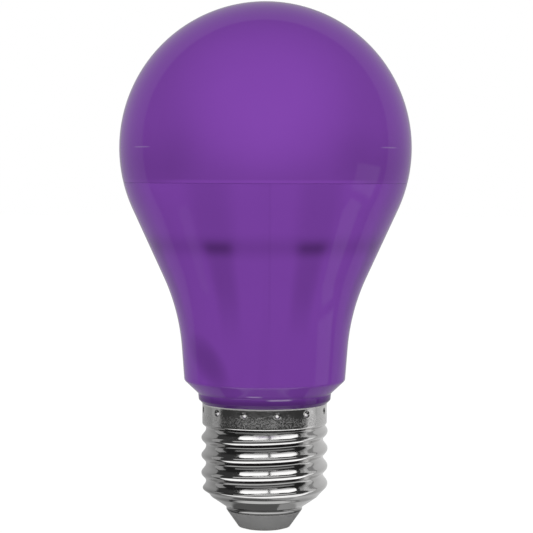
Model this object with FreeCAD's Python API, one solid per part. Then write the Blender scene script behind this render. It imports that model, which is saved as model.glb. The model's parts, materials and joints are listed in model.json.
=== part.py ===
import FreeCAD
import Part
import math
import os

from FreeCAD import Vector

# An A60 LED bulb on an E27 screw cap, in millimetres, +Z up.
# The origin is the middle of the centre contact's underside, on the bulb's axis.

# Outside form of the globe and housing
CAP_TOP_HEIGHT = 25.75
GLOBE_RADIUS = 30.0
SEAM_DROP = 7.1
FLARE_ANGLE = 24.6
NECK_CURVE_RADIUS = 42.6
NECK_DRAFT = 4.4
NECK_LENGTH = 6.735
SHOULDER_RISE = 4.95
SHOULDER_STEP = 2.862
SHOULDER_ROUND = 0.9
SHOULDER_ANGLE = 46.7
COLLAR_OVERHANG = 0.87
COLLAR_DRAFT = 5.5
COLLAR_FILLET = 0.5
COLLAR_BEVEL = 0.75
COLLAR_ROUND = 0.4

# Moulded walls and the lap joint at the seam
SHELL_WALL = 1.5
LIP_WALL = 0.7
LAP_HEIGHT = 3.0
LAP_CLEARANCE = 0.1
LIP_END_GAP = 0.2

# Inside of the housing: floor, spigot and board slots
FLOOR_RISE = 0.9
FLOOR_ROUND = 0.5
SPIGOT_FIT = 0.22
SPIGOT_FOOT_HEIGHT = 16.0
SPIGOT_FOOT_ROUND = 0.3
SPIGOT_WALL = 1.29
RIB_REACH = 2.1
RIB_WIDTH = 1.2
SLOT_CLEARANCE = 0.15

# Screw cap: right-hand thread of seven turns to the inch, with equal arcs at crest and root
CAP_WALL = 0.35
CREST_RADIUS = 13.05
SKIRT_STEP = 0.18
THREAD_PITCH = 25.4 / 7
THREAD_ARC = 1.025
CREST_HEIGHT_AT_X = 16.70
THREAD_TOP_DROP = 2.35
THREAD_FADE = 2.0
THREAD_PLAIN_END = 0.2
FOOT_JOIN_HEIGHT = 6.6
FOOT_RADIUS = 11.05
FOOT_SLOPE = 35.0
FOOT_ROUND = 1.2
END_CONE_ANGLE = 36.0
RIM_RADIUS = 7.75
RIM_HEIGHT = 3.6
THREAD_STEPS_ROUND = 48
THREAD_ROWS_PER_PITCH = 12

# Punch marks that fix the cap to the spigot
DIMPLE_COUNT = 12
DIMPLE_RADIUS = 0.62
DIMPLE_DEPTH = 0.4
DIMPLE_DROP = 1.25
DIMPLE_START = -78.5
DIMPLE_POCKET_CLEARANCE = 0.1

# Grey insulator and centre contact
TIP_RADIUS = 5.15
TIP_ROUND = 0.15
CONTACT_PROUD = 0.25
INSULATOR_RIM_STEP = 0.1
INSULATOR_RIM_ROUND = 0.1
INSULATOR_TOP_HEIGHT = 6.0
INSULATOR_FIT = 0.12
CONTACT_RADIUS = 4.6
CONTACT_THICKNESS = 0.7
CONTACT_EDGE_ROUND = 0.22
CONTACT_FIT = 0.1
SHANK_RADIUS = 1.5
SHANK_BORE_RADIUS = 0.9
RIVET_RADIUS = 2.4
RIVET_THICKNESS = 0.4
RIVET_ROUND = 0.3

# Aluminium cup that lines the housing and carries the LED board
CUP_FIT = 0.2
CUP_WALL = 1.0
CUP_RIM_DROP = 0.4
CUP_HOLE_RADIUS = 11.5
CUP_FLOOR_ROUND = 1.6
LEDGE_DROP = 2.1
LEDGE_THICKNESS = 2.0
LEDGE_WIDTH = 5.0

# LED board and what is mounted on it
LED_BOARD_THICKNESS = 1.2
LED_BOARD_FIT = 0.4
LED_BOARD_HOLE_RADIUS = 3.0
CHIP_COUNT = 8
CHIP_SCREW_GAP = 4.45
CHIP_LENGTH = 3.5
CHIP_WIDTH = 2.8
CHIP_HEIGHT = 0.75
CHIP_WINDOW_INSET = 0.45
CHIP_WINDOW_DEPTH = 0.15
SCREW_COUNT = 3
SCREW_SHANK_RADIUS = 0.85
SCREW_LENGTH = 4.0
SCREW_HEAD_RADIUS = 1.85
SCREW_HEAD_HEIGHT = 1.2
SCREW_HEAD_ROUND = 0.4
SCREW_SLOT_WIDTH = 0.45
SCREW_SLOT_DEPTH = 0.6
SCREW_FIT = 0.05
SCREW_BOARD_CLEARANCE = 0.3
SOCKET_LENGTH = 8.4
SOCKET_WIDTH = 5.0
SOCKET_HEIGHT = 2.8
SOCKET_EDGE = 0.4
SOCKET_ROOF = 0.7
PIN_SIZE = 0.64
PIN_SPACING = 2.54
PIN_FOOT_GAP = 3.7
PIN_CLEARANCE = 0.1

# Driver board, upright in the neck
DRIVER_THICKNESS = 1.2
DRIVER_FOOT_RISE = 1.0
DRIVER_TOP_EDGE = 0.8
DRIVER_BORE_CLEARANCE = 0.8
DRIVER_NECK_CLEARANCE = 3.0
LEAD_HOLE_RISE = 1.6
DRIVER_CORNER = 2.0
PART_STANDOFF = 0.2

# Parts on the driver board
CAN_ROUND = 0.6
CAN_LEAD_RADIUS = 0.3
CAN_LEAD_SPACING = 3.5
CAN_LEAD_RUN = 1.6
LEAD_BEND = 0.7
LEAD_HOLE_CLEARANCE = 0.12
LEAD_TAIL = 0.9
INPUT_CAN_RADIUS = 4.0
INPUT_CAN_LENGTH = 12.0
INPUT_CAN_RISE = 1.8
OUTPUT_CAN_RADIUS = 4.0
OUTPUT_CAN_LENGTH = 13.0
OUTPUT_CAN_GAP = 3.2
FILTER_WIDTH = 10.0
FILTER_HEIGHT = 8.0
FILTER_DEPTH = 5.0
FILTER_RISE = 1.7
FILTER_ROUND = 0.5
BRIDGE_WIDTH = 4.7
BRIDGE_HEIGHT = 3.9
BRIDGE_DEPTH = 2.4
BRIDGE_GAP = 0.85
BRIDGE_LEGS = 2
DRIVER_CHIP_WIDTH = 4.9
DRIVER_CHIP_HEIGHT = 3.9
DRIVER_CHIP_DEPTH = 1.5
DRIVER_CHIP_GAP = 0.4
DRIVER_CHIP_LEGS = 4
LEG_PITCH = 1.27
LEG_WIDTH = 0.42
LEG_THICKNESS = 0.2
LEG_REACH = 1.0
INDUCTOR_FLANGE_RADIUS = 4.8
INDUCTOR_FLANGE_THICKNESS = 1.3
INDUCTOR_WAIST_RADIUS = 2.0
INDUCTOR_HEIGHT = 9.0
COIL_RADIUS = 4.2
COIL_CLEARANCE = 0.05
COIL_ROUND = 0.5

# Leads between the board and the cap
RESISTOR_RADIUS = 1.5
RESISTOR_LENGTH = 6.2
RESISTOR_DROP = 0.9
RESISTOR_ROUND = 0.6
RESISTOR_LEAD_RADIUS = 0.3
RESISTOR_LEAD_DEPTH = 3.9
SHELL_LEAD_RADIUS = 0.3
SHELL_LEAD_X = 6.5
SHELL_LEAD_DROP = 1.1
SHELL_LEAD_RISE = 3.6
LEAD_GROOVE_CLEARANCE = 0.18

ORIGIN = Vector(0, 0, 0)
UP = Vector(0, 0, 1)
SAME_PLACE = 1e-4
JOIN_TOLERANCE = 1e-3


def sin(degrees):
    return math.sin(math.radians(degrees))


def cos(degrees):
    return math.cos(math.radians(degrees))


def tan(degrees):
    return math.tan(math.radians(degrees))


def smooth_step(value, low, high):
    """0 below low, 1 above high and a smooth rise between them."""
    share = min(max((value - low) / (high - low), 0.0), 1.0)
    return share * share * (3 - 2 * share)


# Outlines in the half plane X >= 0, turned about Z

def at(radius, height):
    return Vector(radius, 0, height)


def line(start, end):
    return Part.LineSegment(start, end).toShape()


def arc(centre, radius, first, last):
    """An arc of the half plane, its angles taken from +X towards +Z."""
    points = [at(centre.x + radius * cos(a), centre.z + radius * sin(a))
              for a in (first, (first + last) / 2, last)]
    return Part.Arc(*points).toShape()


def path(corners):
    """Straight runs through (radius, height, round) corners, each rounded by its own arc."""
    edges = []
    start = at(corners[0][0], corners[0][1])
    for index in range(1, len(corners) - 1):
        corner = at(corners[index][0], corners[index][1])
        ahead = at(corners[index + 1][0], corners[index + 1][1])
        round_radius = corners[index][2]
        if round_radius == 0:
            edges.append(line(start, corner))
            start = corner
            continue
        back = (start - corner).normalize()
        forth = (ahead - corner).normalize()
        half_turn = back.getAngle(forth) / 2
        reach = round_radius / math.tan(half_turn)
        first = corner + back * reach
        last = corner + forth * reach
        bisector = (back + forth).normalize()
        middle = corner + bisector * (round_radius / math.sin(half_turn) - round_radius)
        if (first - start).Length > SAME_PLACE:
            edges.append(line(start, first))
        edges.append(Part.Arc(first, middle, last).toShape())
        start = last
    edges.append(line(start, at(corners[-1][0], corners[-1][1])))
    return edges


def turned(edges):
    """The solid that a closed outline sweeps once round the Z axis."""
    wire = Part.Wire(Part.__sortEdges__(edges))
    return Part.Face(wire).revolve(ORIGIN, UP, 360)


def ends(edges):
    """First and last point of a run of edges that were drawn in order."""
    return edges[0].valueAt(edges[0].FirstParameter), edges[-1].valueAt(edges[-1].LastParameter)


def box(centre, size):
    corner = centre - size * 0.5
    return Part.makeBox(size.x, size.y, size.z, corner)


def rod(radius, start, end):
    return Part.makeCylinder(radius, (end - start).Length, start, end - start)


def wire_rod(points, radius, bend):
    """A formed wire: straight runs joined by bends, swept with a round section."""
    edges = []
    start = points[0]
    for corner, ahead in zip(points[1:-1], points[2:]):
        back = (start - corner).normalize()
        forth = (ahead - corner).normalize()
        half_turn = back.getAngle(forth) / 2
        reach = bend / math.tan(half_turn)
        middle = corner + (back + forth).normalize() * (bend / math.sin(half_turn) - bend)
        edges.append(line(start, corner + back * reach))
        edges.append(Part.Arc(corner + back * reach, middle, corner + forth * reach).toShape())
        start = corner + forth * reach
    edges.append(line(start, points[-1]))
    section = Part.Wire(Part.makeCircle(radius, points[0], points[1] - points[0]))
    return Part.Wire(edges).makePipeShell([section], True, False)


# Heights and radii that follow from the driving sizes, from the cap's top upwards

def skirt_radius():
    return CREST_RADIUS - SKIRT_STEP


def collar_radius():
    return skirt_radius() + COLLAR_OVERHANG


def shoulder_height():
    return CAP_TOP_HEIGHT + SHOULDER_RISE


def floor_height():
    return shoulder_height() + FLOOR_RISE


def neck_curve_centre():
    """Middle of the hollow curve, which starts at the top of the drafted neck."""
    top_radius = collar_radius() + SHOULDER_STEP + NECK_LENGTH * tan(NECK_DRAFT)
    top = at(top_radius, shoulder_height() + NECK_LENGTH)
    return top + at(cos(NECK_DRAFT), -sin(NECK_DRAFT)) * NECK_CURVE_RADIUS


def globe_height():
    """Height of the globe's centre, at which the globe touches the straight flare."""
    foot = neck_curve_centre() - at(cos(FLARE_ANGLE), -sin(FLARE_ANGLE)) * NECK_CURVE_RADIUS
    flare_height = (GLOBE_RADIUS * cos(FLARE_ANGLE) - foot.x) / tan(FLARE_ANGLE)
    return foot.z + flare_height + GLOBE_RADIUS * sin(FLARE_ANGLE)


def seam_height():
    return globe_height() - SEAM_DROP


def ledge_height():
    return seam_height() - LEDGE_DROP


# Body line: the outside form, or a wall parallel to it and further in


def globe_angle(inset, height):
    """Angle on the globe's circle, or one parallel to it, at which it passes a height."""
    return math.degrees(math.asin((height - globe_height()) / (GLOBE_RADIUS - inset)))


def globe_radius_at(inset, height):
    return math.sqrt((GLOBE_RADIUS - inset) ** 2 - (height - globe_height()) ** 2)


def neck_radius_at(inset, height):
    """Radius on the drafted neck below the hollow curve."""
    top = neck_curve_centre() - at(cos(NECK_DRAFT), -sin(NECK_DRAFT)) * (NECK_CURVE_RADIUS + inset)
    return top.x - (top.z - height) * tan(NECK_DRAFT)


def body_line(inset, top_height):
    """Edges from a height on the globe's circle down to the end of the neck's hollow curve."""
    middle = at(0, globe_height())
    globe = arc(middle, GLOBE_RADIUS - inset, globe_angle(inset, top_height), -FLARE_ANGLE)
    globe_foot = middle + at(cos(FLARE_ANGLE), -sin(FLARE_ANGLE)) * (GLOBE_RADIUS - inset)
    centre = neck_curve_centre()
    curve_radius = NECK_CURVE_RADIUS + inset
    curve_top = centre - at(cos(FLARE_ANGLE), -sin(FLARE_ANGLE)) * curve_radius
    hollow = arc(centre, curve_radius, 180 - FLARE_ANGLE, 180 - NECK_DRAFT)
    return [globe, line(globe_foot, curve_top), hollow]


# Screw cap

def thread_top():
    """Where the thread's wall joins the plain skirt."""
    return CAP_TOP_HEIGHT - THREAD_TOP_DROP


def thread_depth():
    return 2 * (THREAD_ARC - math.sqrt(THREAD_ARC ** 2 - (THREAD_PITCH / 4) ** 2))


def thread_radius(from_crest, inset):
    """Radius of the thread's outside, or of a wall parallel to it, at a distance from its crest."""
    flank = (THREAD_ARC - inset) * (THREAD_PITCH / 4) / THREAD_ARC
    if from_crest < flank:
        return CREST_RADIUS - THREAD_ARC + math.sqrt((THREAD_ARC - inset) ** 2 - from_crest ** 2)
    root_centre = CREST_RADIUS - thread_depth() + THREAD_ARC
    return root_centre - math.sqrt((THREAD_ARC + inset) ** 2 - (THREAD_PITCH / 2 - from_crest) ** 2)


def cap_radius(angle, height, inset):
    """Threaded wall of the cap: the thread fades into the skirt above and the foot below."""
    turn_height = CREST_HEIGHT_AT_X + THREAD_PITCH * angle / 360
    phase = (height - turn_height) % THREAD_PITCH
    threaded = thread_radius(min(phase, THREAD_PITCH - phase), inset)
    skirt = skirt_radius() - inset
    foot = FOOT_RADIUS - inset / cos(FOOT_SLOPE) + (height - FOOT_JOIN_HEIGHT) * tan(FOOT_SLOPE)
    fade_end = thread_top() - THREAD_PLAIN_END
    fade = smooth_step(height, fade_end - THREAD_FADE, fade_end)
    upper = threaded * (1 - fade) + skirt * fade
    rise_start = FOOT_JOIN_HEIGHT + THREAD_PLAIN_END
    rise = smooth_step(height, rise_start, rise_start + THREAD_FADE)
    return foot * (1 - rise) + upper * rise


def threaded_core(inset):
    """Solid bounded by the threaded wall and by flat ends where the skirt and foot join it."""
    length = thread_top() - FOOT_JOIN_HEIGHT
    rows = round(length / THREAD_PITCH * THREAD_ROWS_PER_PITCH)
    grid = []
    for row in range(rows + 1):
        height = FOOT_JOIN_HEIGHT + length * row / rows
        ring = []
        for step in range(THREAD_STEPS_ROUND + 1):
            angle = 360 * (step % THREAD_STEPS_ROUND) / THREAD_STEPS_ROUND
            radius = cap_radius(angle, height, inset)
            ring.append(Vector(radius * cos(angle), radius * sin(angle), height))
        grid.append(ring)
    surface = Part.BSplineSurface()
    surface.interpolate(grid)
    wall = surface.toShape()
    faces = [wall]
    for height in (FOOT_JOIN_HEIGHT, thread_top()):
        low, high = height - SAME_PLACE, height + SAME_PLACE
        rim = [e for e in wall.Edges if low < e.BoundBox.ZMin and e.BoundBox.ZMax < high]
        faces.append(Part.Face(Part.Wire(rim)))
    shell = Part.Shell(faces)
    shell.sewShape()
    return Part.Solid(shell)


def foot_outline(inset):
    """Corners of the cap's foot, from the thread's end down its slope and end cone to the rim."""
    slope = tan(FOOT_SLOPE)
    rise = tan(END_CONE_ANGLE)
    slope_radius = FOOT_RADIUS - inset / cos(FOOT_SLOPE)
    cone_height = RIM_HEIGHT + inset / cos(END_CONE_ANGLE)
    # The corner lies both on the slope and on the cone.
    foot_of_slope = slope_radius - FOOT_JOIN_HEIGHT * slope
    height = (cone_height + (foot_of_slope - RIM_RADIUS) * rise) / (1 - slope * rise)
    radius = slope_radius + (height - FOOT_JOIN_HEIGHT) * slope
    return [(slope_radius, FOOT_JOIN_HEIGHT, 0),
            (radius, height, FOOT_ROUND - inset),
            (RIM_RADIUS - inset, cone_height - inset * rise, 0)]


def dimple_angles():
    return [DIMPLE_START + 360 * index / DIMPLE_COUNT for index in range(DIMPLE_COUNT)]


def dimple_balls(inset):
    """Balls whose surfaces are the punch marks, or marks parallel to them on the inner side."""
    ball_radius = (DIMPLE_RADIUS ** 2 + DIMPLE_DEPTH ** 2) / (2 * DIMPLE_DEPTH)
    centre_radius = skirt_radius() - DIMPLE_DEPTH + ball_radius
    height = CAP_TOP_HEIGHT - DIMPLE_DROP
    centres = [Vector(centre_radius * cos(a), centre_radius * sin(a), height) for a in dimple_angles()]
    return [Part.makeSphere(ball_radius + inset, centre) for centre in centres]


def cap_solid(inset):
    """Skirt, thread and foot as full solids of the cap's outside, or of its inside further in."""
    skirt = turned(path([(0, thread_top(), 0),
                         (skirt_radius() - inset, thread_top(), 0),
                         (skirt_radius() - inset, CAP_TOP_HEIGHT, 0),
                         (0, CAP_TOP_HEIGHT, 0),
                         (0, thread_top(), 0)]))
    foot_corners = foot_outline(inset)
    foot = turned(path([(0, FOOT_JOIN_HEIGHT, 0)] + foot_corners
                       + [(0, foot_corners[-1][1], 0), (0, FOOT_JOIN_HEIGHT, 0)]))
    return skirt.cut(dimple_balls(inset)), threaded_core(inset), foot


def cap_shell():
    outside = cap_solid(0)
    inside = cap_solid(CAP_WALL)
    pieces = [outer.cut(inner) for outer, inner in zip(outside, inside)]
    opening = Part.makeCylinder(RIM_RADIUS - CAP_WALL, CAP_TOP_HEIGHT)
    pieces[2] = pieces[2].cut(opening)
    return pieces[0].fuse(pieces[1:], JOIN_TOLERANCE)


def cap_insulator():
    """Grey cone below the rim, with a waist through the rim and a flange that holds it inside."""
    corner, waist_top = foot_outline(CAP_WALL + INSULATOR_FIT)[1:]
    waist = waist_top[0]
    flange_radius = corner[0] + (INSULATOR_TOP_HEIGHT - corner[1]) * tan(FOOT_SLOPE)
    shoulder_height = RIM_HEIGHT - INSULATOR_RIM_STEP
    recess = CONTACT_RADIUS + CONTACT_FIT
    bore = SHANK_RADIUS + CONTACT_FIT
    return turned(path([(bore, CONTACT_THICKNESS, 0),
                        (recess, CONTACT_THICKNESS, 0),
                        (recess, CONTACT_PROUD, 0),
                        (TIP_RADIUS, CONTACT_PROUD, TIP_ROUND),
                        (RIM_RADIUS - INSULATOR_RIM_STEP, shoulder_height, INSULATOR_RIM_ROUND),
                        (waist, shoulder_height, 0),
                        waist_top,
                        corner,
                        (flange_radius, INSULATOR_TOP_HEIGHT, 0),
                        (bore, INSULATOR_TOP_HEIGHT, 0),
                        (bore, CONTACT_THICKNESS, 0)]))


def centre_contact():
    """Rivet: a flat disc outside, a hollow shank, and a flange turned over inside the cap."""
    rivet_foot = INSULATOR_TOP_HEIGHT
    rivet_top = rivet_foot + RIVET_THICKNESS
    return turned(path([(0, 0, 0),
                        (CONTACT_RADIUS, 0, CONTACT_EDGE_ROUND),
                        (CONTACT_RADIUS, CONTACT_THICKNESS, 0),
                        (SHANK_RADIUS, CONTACT_THICKNESS, 0),
                        (SHANK_RADIUS, rivet_foot, 0),
                        (RIVET_RADIUS, rivet_foot, 0),
                        (RIVET_RADIUS, rivet_top, 0),
                        (SHANK_BORE_RADIUS, rivet_top, RIVET_ROUND),
                        (SHANK_BORE_RADIUS, CONTACT_THICKNESS, 0),
                        (0, CONTACT_THICKNESS, 0),
                        (0, 0, 0)]))


# Housing and globe

def outer_lap_inset():
    return SHELL_WALL - LIP_WALL - LAP_CLEARANCE


def diffuser_globe():
    centre = at(0, globe_height())
    lip_inset = SHELL_WALL - LIP_WALL
    lip_foot = seam_height() - LAP_HEIGHT + LIP_END_GAP
    outside = arc(centre, GLOBE_RADIUS, 90, globe_angle(0, seam_height()))
    lip = arc(centre, GLOBE_RADIUS - lip_inset,
              globe_angle(lip_inset, seam_height()), globe_angle(lip_inset, lip_foot))
    inside = arc(centre, GLOBE_RADIUS - SHELL_WALL, globe_angle(SHELL_WALL, lip_foot), 90)
    return turned([outside,
                   line(ends([outside])[1], ends([lip])[0]),
                   lip,
                   line(ends([lip])[1], ends([inside])[0]),
                   inside,
                   line(ends([inside])[1], ends([outside])[0])])


def root_fit():
    """Radius of the spigot inside the thread's root."""
    return CREST_RADIUS - thread_depth() - CAP_WALL - SPIGOT_FIT / 2


def bore_radius():
    return root_fit() - SPIGOT_WALL


def spigot_corners():
    """The spigot from the cap's top down: it follows the skirt, then clears the thread's root."""
    skirt_fit = skirt_radius() - CAP_WALL - SPIGOT_FIT
    fade_end = thread_top() - THREAD_PLAIN_END
    return [(skirt_fit, CAP_TOP_HEIGHT, 0),
            (skirt_fit, fade_end, 0),
            (root_fit(), fade_end - THREAD_FADE, 0),
            (root_fit(), SPIGOT_FOOT_HEIGHT, SPIGOT_FOOT_ROUND),
            (bore_radius(), SPIGOT_FOOT_HEIGHT, SPIGOT_FOOT_ROUND)]


def housing_blank():
    outside = body_line(0, seam_height())
    inside = body_line(SHELL_WALL, seam_height() - LAP_HEIGHT)
    lap_inset = outer_lap_inset()
    lap = arc(at(0, globe_height()), GLOBE_RADIUS - lap_inset,
              globe_angle(lap_inset, seam_height()), globe_angle(lap_inset, seam_height() - LAP_HEIGHT))
    shoulder_radius = neck_radius_at(0, shoulder_height())
    collar_top = shoulder_height() - (shoulder_radius - collar_radius()) / tan(SHOULDER_ANGLE)
    collar_foot = collar_radius() - (collar_top - CAP_TOP_HEIGHT - COLLAR_BEVEL) * tan(COLLAR_DRAFT)
    outer_end = ends(outside)[1]
    inner_end = ends(inside)[1]
    lower = path([(outer_end.x, outer_end.z, 0),
                  (shoulder_radius, shoulder_height(), SHOULDER_ROUND),
                  (collar_radius(), collar_top, COLLAR_FILLET),
                  (collar_foot, CAP_TOP_HEIGHT + COLLAR_BEVEL, COLLAR_ROUND),
                  (collar_foot - COLLAR_BEVEL, CAP_TOP_HEIGHT, 0)]
                 + spigot_corners()
                 + [(bore_radius(), floor_height(), 0),
                    (neck_radius_at(SHELL_WALL, floor_height()), floor_height(), FLOOR_ROUND),
                    (inner_end.x, inner_end.z, 0)])
    rim = [line(ends(outside)[0], ends([lap])[0]), lap, line(ends([lap])[1], ends(inside)[0])]
    return turned(outside + lower + inside + rim)


def board_plane():
    """Y of the driver board's middle, so that the pins on its face stand on the bulb's axis."""
    return -(DRIVER_THICKNESS + PIN_SIZE) / 2


def board_ribs():
    """Two pairs of ribs in the bore, whose slots hold the edges of the driver board."""
    height = floor_height() - SPIGOT_FOOT_HEIGHT
    middle = (floor_height() + SPIGOT_FOOT_HEIGHT) / 2
    offset = DRIVER_THICKNESS / 2 + SLOT_CLEARANCE + RIB_WIDTH / 2
    reach = RIB_REACH + SHELL_WALL / 2
    bore = Part.makeCylinder(bore_radius() + SHELL_WALL / 2, height, Vector(0, 0, SPIGOT_FOOT_HEIGHT))
    ribs = []
    rib_x = bore_radius() + SHELL_WALL / 2 - reach / 2
    for side in (-1, 1):
        for face in (-1, 1):
            centre = Vector(side * rib_x, board_plane() + face * offset, middle)
            ribs.append(box(centre, Vector(reach, RIB_WIDTH, height)).common(bore))
    return ribs


def shell_lead_angle():
    return math.degrees(math.atan2(shell_lead_y(), SHELL_LEAD_X))


def shell_lead_y():
    return board_plane() - DRIVER_THICKNESS / 2 - SHELL_LEAD_DROP


def shell_lead_radius():
    """Distance of the lead's outer run from the axis: it lies in a groove of the spigot."""
    return spigot_corners()[3][0] - SHELL_LEAD_RADIUS - LEAD_GROOVE_CLEARANCE / 2


def lead_groove():
    width = 2 * (SHELL_LEAD_RADIUS + LEAD_GROOVE_CLEARANCE)
    depth_from = shell_lead_radius() - width / 2
    length = skirt_radius() - depth_from
    top = SPIGOT_FOOT_HEIGHT + SHELL_LEAD_RISE + LEAD_GROOVE_CLEARANCE
    height = top - SPIGOT_FOOT_HEIGHT + width
    groove = box(Vector(depth_from + length / 2, 0, top - height / 2), Vector(length, width, height))
    groove.rotate(ORIGIN, UP, shell_lead_angle())
    return groove


def housing():
    blank = housing_blank().fuse(board_ribs())
    pockets = dimple_balls(CAP_WALL + DIMPLE_POCKET_CLEARANCE)
    return blank.cut(pockets + [lead_groove()]).removeSplitter()


# Heat sink cup and LED board

def cup_inset():
    return SHELL_WALL + CUP_FIT


def heat_sink_cup():
    top = seam_height() - CUP_RIM_DROP
    outside = body_line(cup_inset(), top)
    inner_inset = cup_inset() + CUP_WALL
    floor_top = floor_height() + CUP_WALL
    ledge_foot = ledge_height() - LEDGE_THICKNESS
    inside = body_line(inner_inset, ledge_foot)
    upper_inside = arc(at(0, globe_height()), GLOBE_RADIUS - inner_inset,
                       globe_angle(inner_inset, top), globe_angle(inner_inset, ledge_height()))
    ledge_radius = globe_radius_at(inner_inset, ledge_height()) - LEDGE_WIDTH
    outer_end = ends(outside)[1]
    inner_end = ends(inside)[1]
    floor = path([(outer_end.x, outer_end.z, 0),
                  (neck_radius_at(cup_inset(), floor_height()), floor_height(), CUP_FLOOR_ROUND),
                  (CUP_HOLE_RADIUS, floor_height(), 0),
                  (CUP_HOLE_RADIUS, floor_top, 0),
                  (neck_radius_at(inner_inset, floor_top), floor_top, CUP_FLOOR_ROUND - CUP_WALL),
                  (inner_end.x, inner_end.z, 0)])
    inside_top = ends(inside)[0]
    ledge_inner = ends([upper_inside])[1]
    ledge = [line(inside_top, at(ledge_radius, ledge_foot)),
             line(at(ledge_radius, ledge_foot), at(ledge_radius, ledge_height())),
             line(at(ledge_radius, ledge_height()), ledge_inner)]
    rim = line(ends([upper_inside])[0], ends(outside)[0])
    cup = turned(outside + floor + inside + ledge + [upper_inside, rim])
    holes = [rod(SCREW_SHANK_RADIUS + SCREW_FIT, place - UP * LEDGE_THICKNESS, place)
             for place in screw_places(ledge_height())]
    return cup.cut(holes)


def led_board_radius():
    return globe_radius_at(cup_inset() + CUP_WALL, ledge_height()) - LED_BOARD_FIT


def screw_circle():
    return globe_radius_at(cup_inset() + CUP_WALL, ledge_height()) - LEDGE_WIDTH / 2


def screw_places(height):
    angles = [90 + 360 * index / SCREW_COUNT for index in range(SCREW_COUNT)]
    return [Vector(screw_circle() * cos(a), screw_circle() * sin(a), height) for a in angles]


def led_board():
    board = Part.makeCylinder(led_board_radius(), LED_BOARD_THICKNESS, Vector(0, 0, ledge_height()))
    holes = [Part.makeCylinder(LED_BOARD_HOLE_RADIUS, LED_BOARD_THICKNESS, Vector(0, 0, ledge_height()))]
    for place in screw_places(ledge_height()):
        holes.append(rod(SCREW_SHANK_RADIUS + SCREW_BOARD_CLEARANCE, place, place + UP * LED_BOARD_THICKNESS))
    return board.cut(holes)


def board_top():
    return ledge_height() + LED_BOARD_THICKNESS


def led_chip(index):
    """A moulded package with a shallow window for the light."""
    circle = screw_circle() - SCREW_HEAD_RADIUS - CHIP_SCREW_GAP - CHIP_WIDTH / 2
    middle = Vector(circle, 0, board_top() + CHIP_HEIGHT / 2)
    body = box(middle, Vector(CHIP_WIDTH, CHIP_LENGTH, CHIP_HEIGHT))
    edges = Vector(2 * CHIP_WINDOW_INSET, 2 * CHIP_WINDOW_INSET, CHIP_HEIGHT - CHIP_WINDOW_DEPTH)
    window = box(middle + UP * (CHIP_HEIGHT - CHIP_WINDOW_DEPTH) / 2,
                 Vector(CHIP_WIDTH, CHIP_LENGTH, CHIP_HEIGHT) - edges)
    chip = body.cut(window)
    chip.rotate(ORIGIN, UP, 360 * (index + 0.5) / CHIP_COUNT)
    return chip


def board_screw(place):
    """Pan-head screw with a cross recess."""
    screw = turned(path([(0, 0, 0),
                         (SCREW_HEAD_RADIUS, 0, 0),
                         (SCREW_HEAD_RADIUS, SCREW_HEAD_HEIGHT, SCREW_HEAD_ROUND),
                         (0, SCREW_HEAD_HEIGHT, 0),
                         (0, 0, 0)]))
    shank = Part.makeCylinder(SCREW_SHANK_RADIUS, SCREW_LENGTH, Vector(0, 0, -SCREW_LENGTH))
    slot_middle = UP * (SCREW_HEAD_HEIGHT - SCREW_SLOT_DEPTH / 2)
    slots = [box(slot_middle, Vector(SCREW_HEAD_RADIUS, SCREW_SLOT_WIDTH, SCREW_SLOT_DEPTH)),
             box(slot_middle, Vector(SCREW_SLOT_WIDTH, SCREW_HEAD_RADIUS, SCREW_SLOT_DEPTH))]
    screw = screw.fuse(shank).cut(slots).removeSplitter()
    screw.translate(place)
    return screw


def pin_places():
    return [Vector(side * PIN_SPACING / 2, 0, 0) for side in (-1, 1)]


def pin_top():
    return board_top() + SOCKET_HEIGHT - SOCKET_ROOF - PIN_CLEARANCE


def driver_pin(place):
    length = pin_top() - pin_foot()
    return box(place + UP * (pin_foot() + length / 2), Vector(PIN_SIZE, PIN_SIZE, length))


def board_socket():
    """White two-way socket over the board's hole, open below for the pins."""
    middle = UP * (board_top() + SOCKET_HEIGHT / 2)
    body = box(middle, Vector(SOCKET_LENGTH, SOCKET_WIDTH, SOCKET_HEIGHT))
    upright = [e for e in body.Edges if e.BoundBox.ZLength > SOCKET_HEIGHT / 2]
    body = body.makeChamfer(SOCKET_EDGE, upright)
    depth = SOCKET_HEIGHT - SOCKET_ROOF
    side = PIN_SIZE + 2 * PIN_CLEARANCE
    holes = [box(place + UP * (board_top() + depth / 2), Vector(side, side, depth)) for place in pin_places()]
    return body.cut(holes)


# Driver board and its parts, placed one above the other from the board's foot

def driver_foot():
    return SPIGOT_FOOT_HEIGHT + DRIVER_FOOT_RISE


def lead_hole_height():
    return driver_foot() + LEAD_HOLE_RISE


def input_can_foot():
    return lead_hole_height() + INPUT_CAN_RISE


def output_can_foot():
    return input_can_foot() + INPUT_CAN_LENGTH + CAN_LEAD_RUN + OUTPUT_CAN_GAP


def pin_foot():
    return output_can_foot() + OUTPUT_CAN_LENGTH + CAN_LEAD_RUN + PIN_FOOT_GAP


def filter_centre():
    return pin_foot() + FILTER_RISE


def driver_top():
    return filter_centre() + FILTER_HEIGHT / 2 + DRIVER_TOP_EDGE


def bridge_centre():
    return lead_hole_height() + BRIDGE_GAP + LEG_REACH + BRIDGE_HEIGHT / 2


def driver_chip_centre():
    return bridge_centre() + BRIDGE_HEIGHT / 2 + DRIVER_CHIP_GAP + 2 * LEG_REACH + DRIVER_CHIP_HEIGHT / 2


def inductor_centre():
    return output_can_foot() + INDUCTOR_FLANGE_RADIUS


def resistor_foot():
    """The resistor hangs below the spigot's foot, inside the cap."""
    return SPIGOT_FOOT_HEIGHT - RESISTOR_DROP - RESISTOR_LENGTH


def front_face():
    """Y of the driver board's face towards +Y, which carries the cans and the pins."""
    return board_plane() + DRIVER_THICKNESS / 2


def back_face():
    return board_plane() - DRIVER_THICKNESS / 2


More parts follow.
